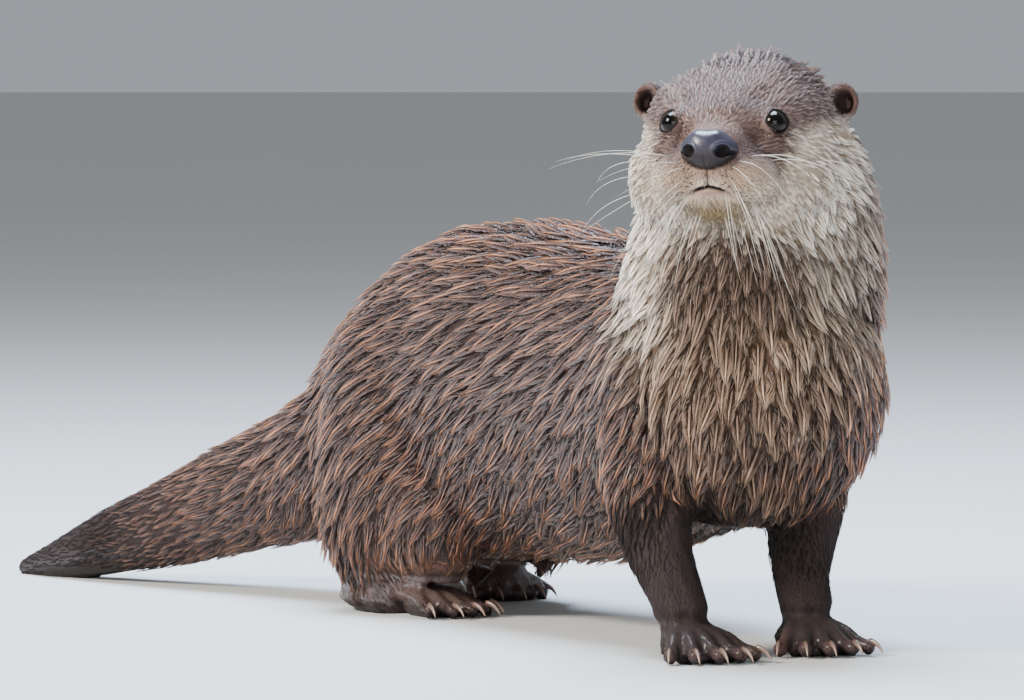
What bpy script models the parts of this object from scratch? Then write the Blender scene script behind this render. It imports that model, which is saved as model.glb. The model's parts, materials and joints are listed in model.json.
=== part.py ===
"""A life-size river otter that stands with its head raised, as one still figure.

The figure is modelled whole, as a sculptor blocks it out: ellipsoid masses for skull, muscles and belly,
and lofts for trunk, neck, limbs, toes and tail. A voxel remesh blends them into one closed body, the floor
cuts small flats under the paws and the tail, and thin gaps part the body into its named pieces.
Eyes, nose and claws are pieces of their own, each seated in a socket.

The trunk lies along Y and looks towards -Y, +X is the otter's left side, and the floor is z = 0.
The tables below are in centimetres, in a working frame with the withers near its origin. At the end
everything moves so that the origin is at the bottom centre of the figure's box.
"""

import math
from typing import NamedTuple

import bmesh
import bpy
from mathutils import Euler, Matrix, Vector

CM = 0.01
GAP = 0.035  # between neighbouring pieces

# Overall stance
HEAD_CENTRE = (-2.85, -0.35, 25.45)
HEAD_YAW = 38.0  # degrees, turned to the otter's right
HEAD_PITCH = 8.0  # degrees, nose up

# Places on the head: forward, left and up from its centre
EYE_PLACE = (3.05, 2.62, 2.12)
EYE_RADIUS = 0.64
EAR_PLACE = (-1.9, 5.05, 3.68)
EAR_SIZE = (0.62, 1.02, 1.08)
EAR_TURN = 24.0  # degrees that an ear's opening turns outward
NOSE_PLACE = (6.2, 0.0, 0.12)
NOSE_SIZE = (1.0, 1.5, 1.08)
NOSE_TAPER = 0.5  # how much narrower the nose pad is at its lower end
NOSTRIL_PLACE = (6.95, 0.86, -0.02)
NOSTRIL_SIZE = (0.5, 0.3, 0.33)
NOSTRIL_TURN = 40.0

# Blending: the voxel's size, and how often the joined masses and the small forms on them are smoothed
VOXEL = 0.2
MASS_SMOOTHING = 14
DETAIL_SMOOTHING = 4
TRIANGLES = 3900
FACE_CENTRE = (4.0, 0.0, 0.0)  # the middle of what keeps smaller triangles, from the head's centre
FACE_REACH = 6.0
FACE_COARSENESS = 0.965
FLOOR_CUT = 0.04  # height at which the undersides of paws and tail are cut level

COAT = (0.16, 0.095, 0.065)
PALE = (0.46, 0.37, 0.27)
PALE_PARTS = ("neck", "lower_jaw")
BARE = (0.045, 0.035, 0.034)
HORN = (0.42, 0.27, 0.22)
DARK = (0.012, 0.009, 0.008)


class Station(NamedTuple):
    """One elliptical section of a loft: its centre, half its width and half its height."""

    centre: tuple
    wide: float
    high: float


# The trunk's centreline, from the breast back to the tail's tip. The spine bends a little to each side.
TRUNK = (
    Station((-0.4, -0.8, 14.2), 5.0, 5.3),
    Station((0.0, 3.8, 14.3), 7.1, 7.4),
    Station((0.7, 11.5, 13.5), 7.2, 8.0),
    Station((1.1, 20.0, 12.7), 7.5, 9.0),
    Station((1.2, 28.5, 12.7), 7.8, 9.5),
    Station((0.8, 36.5, 12.4), 7.5, 9.4),
    Station((0.0, 42.6, 11.1), 6.5, 8.0),
    Station((-1.1, 47.5, 8.9), 4.9, 6.0),
)
TAIL = (
    Station((-1.2, 46.5, 9.4), 4.5, 5.2),
    Station((-2.9, 52.0, 7.2), 3.9, 4.2),
    Station((-4.9, 57.5, 5.5), 3.3, 3.4),
    Station((-6.8, 62.5, 3.85), 2.75, 2.75),
    Station((-8.6, 67.5, 2.4), 2.1, 2.1),
    Station((-10.3, 72.2, 1.05), 1.3, 1.25),
    Station((-11.3, 75.4, 0.42), 0.6, 0.6),
)
NECK = (
    Station((-0.1, 5.2, 12.5), 6.9, 6.5),
    Station((0.1, 4.2, 17.0), 7.2, 6.7),
    Station((0.1, 3.0, 21.0), 6.95, 6.4),
    Station((-0.5, 1.6, 24.6), 6.05, 5.8),
    Station((-1.4, 0.8, 27.0), 4.9, 4.7),
)
# Each leg: shoulder or hip, elbow or knee, the middle of the shank, wrist or hock.
FORELEG_RIGHT = (
    Station((-3.9, 5.2, 14.5), 3.5, 3.9),
    Station((-5.2, 5.0, 9.6), 2.6, 3.2),
    Station((-5.6, 3.5, 6.4), 1.95, 2.2),
    Station((-5.6, 1.6, 3.9), 1.5, 1.6),
    Station((-5.7, -0.2, 2.0), 1.45, 1.3),
)
FORELEG_LEFT = (
    Station((3.7, 5.6, 14.5), 3.6, 3.9),
    Station((4.2, 5.6, 9.8), 2.8, 3.2),
    Station((3.5, 4.3, 6.5), 2.05, 2.2),
    Station((2.7, 2.9, 3.9), 1.55, 1.6),
    Station((2.2, 1.2, 2.0), 1.45, 1.3),
)
HINDLEG_RIGHT = (
    Station((-3.6, 40.0, 12.5), 3.6, 6.0),
    Station((-5.2, 38.2, 8.0), 3.2, 5.4),
    Station((-5.8, 38.4, 4.4), 2.4, 3.9),
    Station((-5.6, 38.8, 2.2), 1.7, 2.6),
)
HINDLEG_LEFT = (
    Station((3.8, 42.2, 12.0), 3.8, 5.6),
    Station((4.8, 43.0, 8.0), 3.3, 5.4),
    Station((5.3, 45.0, 4.4), 2.4, 3.9),
    Station((4.9, 46.4, 2.2), 1.7, 2.6),
)


class Paw(NamedTuple):
    """A paw on the floor: its ankle, where its middle toe ends, its breadth and its toes' size."""

    ankle: tuple
    toe: tuple
    breadth: float
    toe_length: float
    toe_radius: float


PAWS = {
    "forepaw_right": Paw((-5.4, 0.9), (-5.7, -4.5), 5.5, 2.7, 0.62),
    "forepaw_left": Paw((2.4, 2.3), (1.5, -2.9), 5.5, 2.7, 0.62),
    "hindpaw_right": Paw((-6.0, 40.2), (-2.9, 30.0), 5.2, 3.4, 0.64),
    "hindpaw_left": Paw((4.5, 49.6), (5.0, 40.8), 5.2, 3.2, 0.64),
}
TOE_FAN = (-0.5, -0.27, 0.0, 0.27, 0.5)  # across the paw, in breadths
TOE_REACH = (0.70, 0.94, 1.0, 0.92, 0.66)  # how far forward each toe ends, as a share of the longest
CLAW_LENGTH = 0.95
CLAW_RADIUS = 0.13


def metres(point):
    """A point or a size in centimetres as a vector in metres."""
    return Vector(point) * CM


def head_frame():
    """The head's frame as a matrix: X forward along the muzzle, Y to the otter's left, Z up."""
    turn = Matrix.Rotation(math.radians(-90.0 - HEAD_YAW), 4, "Z")
    nod = Matrix.Rotation(math.radians(-HEAD_PITCH), 4, "Y")
    return Matrix.Translation(metres(HEAD_CENTRE)) @ turn @ nod


def clear_scene():
    """Removes the scene's objects."""
    for obj in list(bpy.data.objects):
        bpy.data.objects.remove(obj)


def material(name, colour, roughness):
    """A Principled material of one colour."""
    made = bpy.data.materials.new(name)
    made.use_nodes = True
    shader = made.node_tree.nodes["Principled BSDF"]
    shader.inputs["Base Color"].default_value = (*colour, 1.0)
    shader.inputs["Roughness"].default_value = roughness
    made.diffuse_color = (*colour, 1.0)
    return made


def linked(name, bm):
    """The bmesh as a new object in the scene."""
    mesh = bpy.data.meshes.new(name)
    bm.to_mesh(mesh)
    bm.free()
    obj = bpy.data.objects.new(name, mesh)
    bpy.context.scene.collection.objects.link(obj)
    return obj


def bake_modifiers(obj):
    """Replaces the object's mesh by its evaluated one."""
    graph = bpy.context.evaluated_depsgraph_get()
    mesh = bpy.data.meshes.new_from_object(obj.evaluated_get(graph))
    obj.modifiers.clear()
    obj.data = mesh


def ellipsoid(centre, radii, frame=None, turn=0.0, segments=40):
    """An ellipsoid with its radii along the frame's axes, turned about the frame's Z by turn degrees."""
    bm = bmesh.new()
    bmesh.ops.create_uvsphere(bm, u_segments=segments, v_segments=segments // 2, radius=1.0)
    place = Matrix.Translation(metres(centre)) @ Matrix.Rotation(math.radians(turn), 4, "Z")
    place = place @ Matrix.Diagonal((*metres(radii), 1.0))
    bmesh.ops.transform(bm, matrix=(frame or Matrix()) @ place, verts=bm.verts)
    return linked("mass", bm)


def spline_point(points, i, t):
    """The point at t, from 0 to 1, between points i and i + 1, on a Catmull-Rom spline through them."""
    last = len(points) - 1
    a, b, c, d = (points[max(0, min(last, k))] for k in (i - 1, i, i + 1, i + 2))
    return 0.5 * (2 * b + (c - a) * t + (2 * a - 5 * b + 4 * c - d) * t**2 + (3 * b - a - 3 * c + d) * t**3)


def smooth_stations(stations, steps):
    """The stations with steps sections from each to the next, on a smooth curve."""
    rows = [Vector((*s.centre, s.wide, s.high)) for s in stations]
    rows = [spline_point(rows, i, k / steps) for i in range(len(rows) - 1) for k in range(steps)] + [rows[-1]]
    return [Station(tuple(row[:3]), row[3], row[4]) for row in rows]


def loft(stations, across=(1.0, 0.0, 0.0), frame=None, steps=5, sides=28):
    """A closed skin through elliptical sections. Each section's width runs along across, its height
    square to that and to the path, and each end closes in a dome."""
    path = smooth_stations(stations, steps)
    bm = bmesh.new()
    rings = []
    for i, section in enumerate(path):
        ahead = Vector(path[min(i + 1, len(path) - 1)].centre) - Vector(path[max(i - 1, 0)].centre)
        ahead.normalize()
        wide = Vector(across) - ahead * ahead.dot(Vector(across))
        wide.normalize()
        high = ahead.cross(wide)
        domes = {0: (-0.85, -0.5, 0.0), len(path) - 1: (0.0, 0.5, 0.85)}.get(i, (0.0,))
        for dome in domes:
            shrink = math.sqrt(1 - dome**2)
            middle = Vector(section.centre) + ahead * dome * min(section.wide, section.high)
            angles = (2 * math.pi * k / sides for k in range(sides))
            ring = [
                middle + shrink * (wide * section.wide * math.cos(a) + high * section.high * math.sin(a))
                for a in angles
            ]
            rings.append([bm.verts.new(point * CM) for point in ring])
    for low, up in zip(rings, rings[1:]):
        for k in range(sides):
            bm.faces.new((low[k], low[(k + 1) % sides], up[(k + 1) % sides], up[k]))
    bm.faces.new(reversed(rings[0]))
    bm.faces.new(rings[-1])
    bmesh.ops.recalc_face_normals(bm, faces=bm.faces)
    if frame:
        bmesh.ops.transform(bm, matrix=frame, verts=bm.verts)
    return linked("loft", bm)


def blended(name, masses, smoothing):
    """The masses joined into one closed body by a voxel remesh and smoothed, as one object."""
    bm = bmesh.new()
    for mass in masses:
        bm.from_mesh(mass.data)
        bpy.data.objects.remove(mass)
    body = linked(name, bm)
    remesh = body.modifiers.new("blend", "REMESH")
    remesh.mode = "VOXEL"
    remesh.voxel_size = VOXEL * CM
    smooth = body.modifiers.new("soften", "SMOOTH")
    smooth.factor = 0.5
    smooth.iterations = smoothing
    bake_modifiers(body)
    return body


def head_masses():
    """Skull, cheeks, muzzle, brows and jaw, in the head's frame. Side masses come in mirrored pairs."""
    frame = head_frame()
    middle = (
        ((-1.2, 0.0, 1.7), (4.6, 4.2, 3.35)),  # cranium
        ((1.4, 0.0, 1.9), (3.1, 2.7, 2.0)),  # forehead
        ((3.9, 0.0, 0.55), (2.9, 1.75, 1.35)),  # bridge of the muzzle
        ((3.9, 0.0, -0.7), (2.7, 2.9, 1.95)),  # muzzle
        ((3.8, 0.0, -2.2), (2.3, 1.7, 1.05)),  # chin
        ((1.2, 0.0, -1.9), (3.8, 3.7, 1.9)),  # lower jaw and throat
    )
    sides = (
        ((-1.3, 2.3, 1.75), (4.3, 2.9, 3.35)),  # side of the skull
        ((-0.2, 2.8, -0.6), (3.9, 2.95, 3.1)),  # cheek
        ((4.55, 1.75, -1.1), (1.95, 1.75, 1.35)),  # whisker pad
        ((2.3, 2.1, 2.15), (1.5, 1.15, 0.85)),  # brow
        ((2.2, 2.9, 0.6), (1.9, 1.2, 1.3)),  # cheekbone under the eye
    )
    masses = [ellipsoid(centre, radii, frame) for centre, radii in middle]
    for centre, radii in sides:
        for side in (1, -1):
            masses.append(ellipsoid((centre[0], side * centre[1], centre[2]), radii, frame))
    return masses


def body_masses():
    """Trunk, neck, tail and legs as lofts, with the muscles that round them as ellipsoids."""
    masses = [
        loft(TRUNK),
        loft(TAIL),
        loft(NECK),
        loft(FORELEG_RIGHT),
        loft(FORELEG_LEFT),
        loft(HINDLEG_RIGHT),
        loft(HINDLEG_LEFT),
        ellipsoid((-0.3, 1.5, 14.0), (6.9, 5.5, 7.2)),  # breast
        ellipsoid((-1.7, -0.3, 19.2), (4.8, 4.3, 6.8)),  # throat
        ellipsoid((-4.4, 5.0, 13.6), (2.9, 4.2, 5.4)),  # right shoulder
        ellipsoid((3.8, 5.6, 13.6), (3.0, 4.2, 5.6)),  # left shoulder
        ellipsoid((0.8, 31.5, 9.4), (6.8, 13.0, 6.2)),  # belly
        ellipsoid((-3.9, 34.6, 5.6), (3.1, 5.0, 3.9)),  # right knee
        ellipsoid((5.0, 40.0, 5.6), (3.0, 4.8, 3.9)),  # left knee
        ellipsoid((-3.9, 38.2, 10.4), (3.5, 6.6, 7.6), turn=8.0),  # right thigh
        ellipsoid((4.2, 40.6, 10.7), (3.6, 7.4, 7.8), turn=-4.0),  # left thigh
        ellipsoid((-0.2, 41.5, 11.8), (6.2, 6.6, 7.4)),  # rump
    ]
    return masses


def paw_frame(paw):
    """The paw's frame: X forward along the floor from the ankle, Y to the left, Z up."""
    ankle, toe = Vector((*paw.ankle, 0.0)), Vector((*paw.toe, 0.0))
    turn = math.atan2(toe.y - ankle.y, toe.x - ankle.x)
    return Matrix.Translation(ankle * CM) @ Matrix.Rotation(turn, 4, "Z"), (toe - ankle).length


def toe_lines(paw):
    """For each toe its knuckle, its arch and its tip, in the paw's frame."""
    _, length = paw_frame(paw)
    lines = []
    for across, reach in zip(TOE_FAN, TOE_REACH):
        tip_y = across * (paw.breadth - paw.toe_radius)
        start = length - paw.toe_length
        tip_x = start + paw.toe_length * (reach - 0.22)
        low = paw.toe_radius * 0.84
        knuckle = Vector((start - 0.8, tip_y * 0.62, low + 0.75))
        arch = Vector(((start + tip_x) / 2, tip_y * 0.86, low + 0.42))
        lines.append((knuckle, arch, Vector((tip_x, tip_y, low))))
    return lines


def paw_masses(paw):
    """Palm, toes and the web between the toes."""
    frame, length = paw_frame(paw)
    r = paw.toe_radius
    palm_reach = length - paw.toe_length
    masses = [
        ellipsoid((palm_reach * 0.52, 0.0, 0.92), (palm_reach * 0.62, paw.breadth * 0.36, 1.15), frame),
        ellipsoid((palm_reach, 0.0, 0.8), (1.7, paw.breadth * 0.42, 0.95), frame),
        ellipsoid((palm_reach + 0.8, 0.0, 0.45), (1.5, paw.breadth * 0.47, 0.42), frame),
    ]
    for knuckle, arch, tip in toe_lines(paw):
        toe = (
            Station(tuple(knuckle), r * 1.0, r * 0.95),
            Station(tuple(arch), r * 0.86, r * 0.84),
            Station(tuple(tip), r * 0.98, r * 0.95),
        )
        masses.append(loft(toe, across=(0.0, 1.0, 0.0), frame=frame, steps=4, sides=16))
    return masses


def cut_floor(body):
    """Cuts the body off level, which leaves small flats under the paws and the tail."""
    bm = bmesh.new()
    bm.from_mesh(body.data)
    geometry = bm.verts[:] + bm.edges[:] + bm.faces[:]
    level = metres((0.0, 0.0, FLOOR_CUT))
    cut = bmesh.ops.bisect_plane(bm, geom=geometry, plane_co=level, plane_no=(0, 0, 1), clear_inner=True)
    edges = [e for e in cut["geom_cut"] if isinstance(e, bmesh.types.BMEdge)]
    bmesh.ops.holes_fill(bm, edges=edges)
    bm.to_mesh(body.data)
    bm.free()


def thinned(body, triangles):
    """Brings the body down to about that many triangles, with smaller ones on the head and the paws."""
    bm = bmesh.new()
    bm.from_mesh(body.data)
    bmesh.ops.triangulate(bm, faces=bm.faces)
    bm.to_mesh(body.data)
    bm.free()
    face = head_frame() @ metres(FACE_CENTRE)
    coarse = body.vertex_groups.new(name="coarse")
    for vertex in body.data.vertices:
        near_face = (vertex.co - face).length < FACE_REACH * CM
        coarse.add([vertex.index], FACE_COARSENESS if near_face else 1.0, "REPLACE")
    decimate = body.modifiers.new("thin", "DECIMATE")
    decimate.vertex_group = coarse.name
    decimate.vertex_group_factor = 1.0
    decimate.ratio = triangles / len(body.data.polygons)
    bake_modifiers(body)


def combined(body, other, operation):
    """Applies an exact Boolean of the body with the other object, which is then removed."""
    boolean = body.modifiers.new(operation.lower(), "BOOLEAN")
    boolean.operation = operation
    boolean.object = other
    boolean.solver = "EXACT"
    bake_modifiers(body)
    bpy.data.objects.remove(other)


def copy_of(obj, name):
    """A copy of the object with a mesh of its own."""
    made = obj.copy()
    made.data = obj.data.copy()
    made.name = name
    bpy.context.scene.collection.objects.link(made)
    return made


class Region(NamedTuple):
    """A box that a piece is parted off with: its centre, its half sizes, its turns about X, Y and Z in
    degrees, and whether these are in the head's frame."""

    centre: tuple
    half: tuple
    turns: tuple = (0.0, 0.0, 0.0)
    on_head: bool = False


# In the order of the cuts. Each box holds one piece of what the cuts before it have left.
REGIONS = {
    "forepaw_right": Region((-5.6, -1.5, 0.8), (3.7, 5.0, 1.8)),
    "forepaw_left": Region((2.2, 0.0, 0.8), (3.6, 5.0, 1.8)),
    "hindpaw_right": Region((-4.7, 36.0, 0.7), (4.9, 8.5, 1.7)),
    "hindpaw_left": Region((5.4, 46.0, 0.7), (4.2, 8.0, 1.7)),
    "tail_tip": Region((-10.6, 73.2, 0.8), (4.0, 5.0, 4.0), (-15.4, 0.0, 19.7)),
    "tail_middle": Region((-9.1, 69.07, 2.0), (4.6, 10.0, 4.6), (-15.4, 0.0, 19.7)),
    "tail_base": Region((-6.75, 62.7, 4.28), (5.5, 14.0, 6.0), (-15.4, 0.0, 19.7)),
    "hindleg_right": Region((-9.6, 38.2, 8.2), (5.0, 8.2, 9.5), (0.0, -17.9, 0.0)),
    "hindleg_left": Region((10.2, 41.9, 8.2), (5.0, 8.2, 9.5), (0.0, 17.9, 0.0)),
    "foreleg_right": Region((-9.4, 2.2, 7.3), (5.0, 7.2, 10.0), (0.0, -35.4, 0.0)),
    "foreleg_left": Region((8.4, 3.2, 7.3), (5.0, 7.2, 10.0), (0.0, 37.1, 0.0)),
    "head": Region((3.58, 0.0, 5.34), (8.0, 9.0, 14.0), (0.0, -45.8, 0.0), on_head=True),
    "neck": Region((0.0, -1.41, 24.33), (9.5, 9.5, 8.0), (31.3, 0.0, 0.0)),
}
JAW_REGION = Region((5.6, 0.0, -2.9), (2.9, 2.15, 0.8), (0.0, -10.5, 0.0), on_head=True)


def region_box(region, grow):
    """The region as a box whose sides all stand out by grow."""
    bm = bmesh.new()
    bmesh.ops.create_cube(bm, size=2.0)
    turn = Euler(map(math.radians, region.turns)).to_matrix().to_4x4()
    size = Matrix.Diagonal((*((side + grow) * CM for side in region.half), 1.0))
    place = Matrix.Translation(metres(region.centre)) @ turn @ size
    if region.on_head:
        place = head_frame() @ place
    bmesh.ops.transform(bm, matrix=place, verts=bm.verts)
    return linked("region", bm)


def part_off(body, name, region):
    """Cuts the piece inside the region from the body, with a gap between them, and returns it."""
    piece = copy_of(body, name)
    combined(piece, region_box(region, -GAP / 2), "INTERSECT")
    combined(body, region_box(region, GAP / 2), "DIFFERENCE")
    return piece


def grown(size):
    """A size that leaves a gap all round."""
    return tuple(radius + GAP for radius in size)


def on_side(place, side):
    """A place on the head, mirrored to the right for side -1."""
    return place[0], side * place[1], place[2]


def eye(head, name, side):
    """An eyeball set in a socket of the head."""
    place = on_side(EYE_PLACE, side)
    size = (EYE_RADIUS,) * 3
    combined(head, ellipsoid(place, grown(size), head_frame(), segments=14), "DIFFERENCE")
    made = ellipsoid(place, size, head_frame(), segments=14)
    made.name = name
    return made


def ear(head, name, side):
    """A small round ear with a hollow that opens forward, set in a socket of the head."""
    frame = head_frame()
    place = on_side(EAR_PLACE, side)
    turn = side * EAR_TURN
    combined(head, ellipsoid(place, grown(EAR_SIZE), frame, turn, segments=12), "DIFFERENCE")
    made = ellipsoid(place, EAR_SIZE, frame, turn, segments=12)
    made.name = name
    opening = Vector(place) + Vector((0.52, side * 0.42, 0.05))
    hollow = [0.78 * EAR_SIZE[0], 0.66 * EAR_SIZE[1], 0.7 * EAR_SIZE[2]]
    combined(made, ellipsoid(opening, hollow, frame, turn, segments=10), "DIFFERENCE")
    return made


def nose_form(size):
    """The nose pad's solid: an ellipsoid that narrows towards its lower end."""
    bm = bmesh.new()
    bmesh.ops.create_uvsphere(bm, u_segments=16, v_segments=10, radius=1.0)
    for vertex in bm.verts:
        vertex.co.y *= 1.0 + NOSE_TAPER * min(0.0, vertex.co.z)
    place = head_frame() @ Matrix.Translation(metres(NOSE_PLACE)) @ Matrix.Diagonal((*metres(size), 1.0))
    bmesh.ops.transform(bm, matrix=place, verts=bm.verts)
    return linked("nose", bm)


def nose(head):
    """The bare nose pad with two nostrils, set in a socket at the muzzle's end."""
    combined(head, nose_form(grown(NOSE_SIZE)), "DIFFERENCE")
    made = nose_form(NOSE_SIZE)
    for side in (1, -1):
        place = on_side(NOSTRIL_PLACE, side)
        hole = ellipsoid(place, NOSTRIL_SIZE, head_frame(), side * NOSTRIL_TURN, segments=8)
        combined(made, hole, "DIFFERENCE")
    return made


def claw_curve(points, radius):
    """A tapered tube through the points, as a closed mesh object."""
    curve = bpy.data.curves.new("claw", "CURVE")
    curve.dimensions = "3D"
    curve.bevel_depth = radius
    curve.bevel_resolution = 0
    curve.use_fill_caps = True
    spline = curve.splines.new("POLY")
    spline.points.add(len(points) - 1)
    for i, point in enumerate(points):
        spline.points[i].co = (*point, 1.0)
        spline.points[i].radius = 1.0 - 0.78 * i / (len(points) - 1)
    obj = bpy.data.objects.new("claw", curve)
    bpy.context.scene.collection.objects.link(obj)
    graph = bpy.context.evaluated_depsgraph_get()
    mesh = bpy.data.meshes.new_from_object(obj.evaluated_get(graph))
    bpy.data.objects.remove(obj)
    bm = bmesh.new()
    bm.from_mesh(mesh)
    bmesh.ops.remove_doubles(bm, verts=bm.verts, dist=0.00001)
    bmesh.ops.recalc_face_normals(bm, faces=bm.faces)
    return linked("claw", bm)


def claws(paw, name, place):
    """The paw's claws, each a short hook set in a socket at its toe's end."""
    frame, _ = paw_frame(place)
    made = []
    for number, (_, arch, tip) in enumerate(toe_lines(place), 1):
        ahead = (tip - arch).normalized()
        ahead.z = 0.0
        top = tip + Vector((0.0, 0.0, 0.30 * place.toe_radius))
        reach = place.toe_radius * 0.62
        bend = ((0.0, 0.0), (0.4, 0.07), (0.76, -0.1), (1.0, -0.4))
        route = [
            frame @ metres(top + ahead * (reach + CLAW_LENGTH * along) + Vector((0.0, 0.0, CLAW_LENGTH * up)))
            for along, up in bend
        ]
        combined(paw, claw_curve(route, (CLAW_RADIUS + GAP) * CM), "DIFFERENCE")
        claw = claw_curve(route, CLAW_RADIUS * CM)
        claw.name = f"claw_{name}_{number}"
        made.append(claw)
    return made


def largest_part(obj):
    """Keeps the largest of the object's separate closed shells."""
    bm = bmesh.new()
    bm.from_mesh(obj.data)
    left = set(bm.verts)
    shells = []
    while left:
        shell, edge = set(), [left.pop()]
        while edge:
            vertex = edge.pop()
            shell.add(vertex)
            near = {e.other_vert(vertex) for e in vertex.link_edges} & left
            left -= near
            edge += near
        shells.append(shell)
    shells.sort(key=len)
    for shell in shells[:-1]:
        bmesh.ops.delete(bm, geom=list(shell), context="VERTS")
    bm.to_mesh(obj.data)
    bm.free()


def finish_piece(obj, finish, collection):
    """Gives the piece its material and smooth shading, and moves it to the collection."""
    obj.data.materials.clear()
    obj.data.materials.append(finish)
    obj.data.name = obj.name
    obj.data.shade_smooth()
    obj.data.set_sharp_from_angle(angle=math.radians(50.0))
    bpy.context.scene.collection.objects.unlink(obj)
    collection.objects.link(obj)


def to_origin(pieces):
    """Moves the pieces so that the origin is at the bottom centre of their box."""
    points = [vertex.co for piece in pieces for vertex in piece.data.vertices]
    low = Vector(min(point[axis] for point in points) for axis in range(3))
    high = Vector(max(point[axis] for point in points) for axis in range(3))
    shift = Vector((-(low.x + high.x) / 2, -(low.y + high.y) / 2, -low.z))
    for piece in pieces:
        piece.data.transform(Matrix.Translation(shift))


def main():
    """Builds the otter."""
    clear_scene()
    trunk = blended("trunk", body_masses() + head_masses(), MASS_SMOOTHING)
    paws = [mass for paw in PAWS.values() for mass in paw_masses(paw)]
    trunk = blended("trunk", [trunk, *paws], DETAIL_SMOOTHING)
    thinned(trunk, TRIANGLES)
    cut_floor(trunk)

    parts = {name: part_off(trunk, name, region) for name, region in REGIONS.items()}
    parts["trunk"] = trunk
    head = parts["head"]
    bare = [nose(head)]
    parts["lower_jaw"] = part_off(head, "lower_jaw", JAW_REGION)
    eyes = [eye(head, "eye_left", 1), eye(head, "eye_right", -1)]
    parts["ear_left"] = ear(head, "ear_left", 1)
    parts["ear_right"] = ear(head, "ear_right", -1)
    horn = [claw for name, place in PAWS.items() for claw in claws(parts[name], name, place)]

    collection = bpy.data.collections.new("River otter")
    bpy.context.scene.collection.children.link(collection)
    for piece in parts.values():
        largest_part(piece)
    pale = [parts.pop(name) for name in PALE_PARTS]
    for pieces, finish in (
        (list(parts.values()), material("Brown fur", COAT, 0.5)),
        (pale, material("Pale fur", PALE, 0.5)),
        (bare, material("Nose skin", BARE, 0.35)),
        (eyes, material("Eye", DARK, 0.08)),
        (horn, material("Claw horn", HORN, 0.4)),
    ):
        for piece in pieces:
            finish_piece(piece, finish, collection)
    to_origin([*parts.values(), *pale, *bare, *eyes, *horn])


main()
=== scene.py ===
"""River otter, life size, as a still museum model: one skin, a coat of wet locks, eyes, nose, claws and whiskers.

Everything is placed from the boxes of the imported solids, in metres. The animal looks along -Y and +X is its left.
"""

import json
import logging
import math
from collections.abc import Iterator
from contextlib import contextmanager
from dataclasses import dataclass, field
from enum import Enum

import bmesh
import bpy
import numpy as np
from bpy.types import ID, Collection, Material, Mesh, Node, NodeSocket, NodeTree, Object, bpy_prop_collection
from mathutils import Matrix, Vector
from mathutils.bvhtree import BVHTree
from mathutils.kdtree import KDTree

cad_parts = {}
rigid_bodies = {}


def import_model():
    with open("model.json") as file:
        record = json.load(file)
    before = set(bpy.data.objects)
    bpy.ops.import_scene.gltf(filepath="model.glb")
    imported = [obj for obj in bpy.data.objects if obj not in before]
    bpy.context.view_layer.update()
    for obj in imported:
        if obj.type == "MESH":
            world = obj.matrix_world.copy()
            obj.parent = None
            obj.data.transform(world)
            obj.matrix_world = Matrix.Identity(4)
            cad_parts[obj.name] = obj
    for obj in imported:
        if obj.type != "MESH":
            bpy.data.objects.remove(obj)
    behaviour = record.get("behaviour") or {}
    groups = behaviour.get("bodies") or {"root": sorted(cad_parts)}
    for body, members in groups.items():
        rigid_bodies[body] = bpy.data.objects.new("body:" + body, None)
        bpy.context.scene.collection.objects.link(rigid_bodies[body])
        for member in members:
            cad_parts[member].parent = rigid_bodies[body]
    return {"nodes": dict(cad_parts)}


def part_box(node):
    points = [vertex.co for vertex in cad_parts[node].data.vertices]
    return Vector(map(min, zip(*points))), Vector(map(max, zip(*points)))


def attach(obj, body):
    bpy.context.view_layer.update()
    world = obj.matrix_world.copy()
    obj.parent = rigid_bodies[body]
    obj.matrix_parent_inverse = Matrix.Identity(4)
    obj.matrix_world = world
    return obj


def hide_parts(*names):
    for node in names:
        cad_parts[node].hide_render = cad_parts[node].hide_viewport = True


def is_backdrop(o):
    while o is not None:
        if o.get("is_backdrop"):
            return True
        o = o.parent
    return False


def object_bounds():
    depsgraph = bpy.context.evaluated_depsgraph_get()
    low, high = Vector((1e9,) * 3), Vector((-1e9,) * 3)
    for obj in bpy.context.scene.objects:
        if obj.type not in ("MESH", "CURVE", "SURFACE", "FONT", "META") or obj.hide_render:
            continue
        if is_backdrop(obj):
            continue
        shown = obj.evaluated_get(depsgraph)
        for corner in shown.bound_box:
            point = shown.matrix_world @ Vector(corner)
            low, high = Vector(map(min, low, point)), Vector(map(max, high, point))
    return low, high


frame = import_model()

log = logging.getLogger("otter")

CM = 0.01
MM = 0.001
SIDES = (1.0, -1.0)
"""The animal's left and right."""
CENTRE = (0.5, 0.5, 0.5)
NOSE = (6.2, 0.0, 0.12)
"""The middle of the nose pad in the head's frame, in centimetres."""
BODY = "root"

FLESH = (
    "head", "lower_jaw", "ear_left", "ear_right", "neck", "trunk", "tail_base", "tail_middle", "tail_tip",
    "foreleg_left", "foreleg_right", "forepaw_left", "forepaw_right",
    "hindleg_left", "hindleg_right", "hindpaw_left", "hindpaw_right",
)
PAWS = ("forepaw_left", "forepaw_right", "hindpaw_left", "hindpaw_right")
TOES = (1, 2, 3, 4, 5)
CLAWS = tuple(f"claw_{paw}_{toe}" for paw in PAWS for toe in TOES)
MARKED = ("pale", "cream", "dark", "grey", "gold")


# --- numbers and meshes


def ease(low: float, high: float, value: np.ndarray) -> np.ndarray:
    """Rises smoothly from 0 to 1.

    Args:
        low: Where the rise begins.
        high: Where it ends. It may be the smaller of the two, and then the result falls.
        value: The numbers to read.

    Returns:
        The eased numbers, from 0 to 1.
    """
    t = np.clip((value - low) / (high - low), 0.0, 1.0)
    return t * t * (3.0 - 2.0 * t)


def blot(*gaps: np.ndarray) -> np.ndarray:
    """A soft round spot: 1 where every gap is 0, falling away beyond 1."""
    return np.exp(-sum(gap**2 for gap in gaps))


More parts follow.
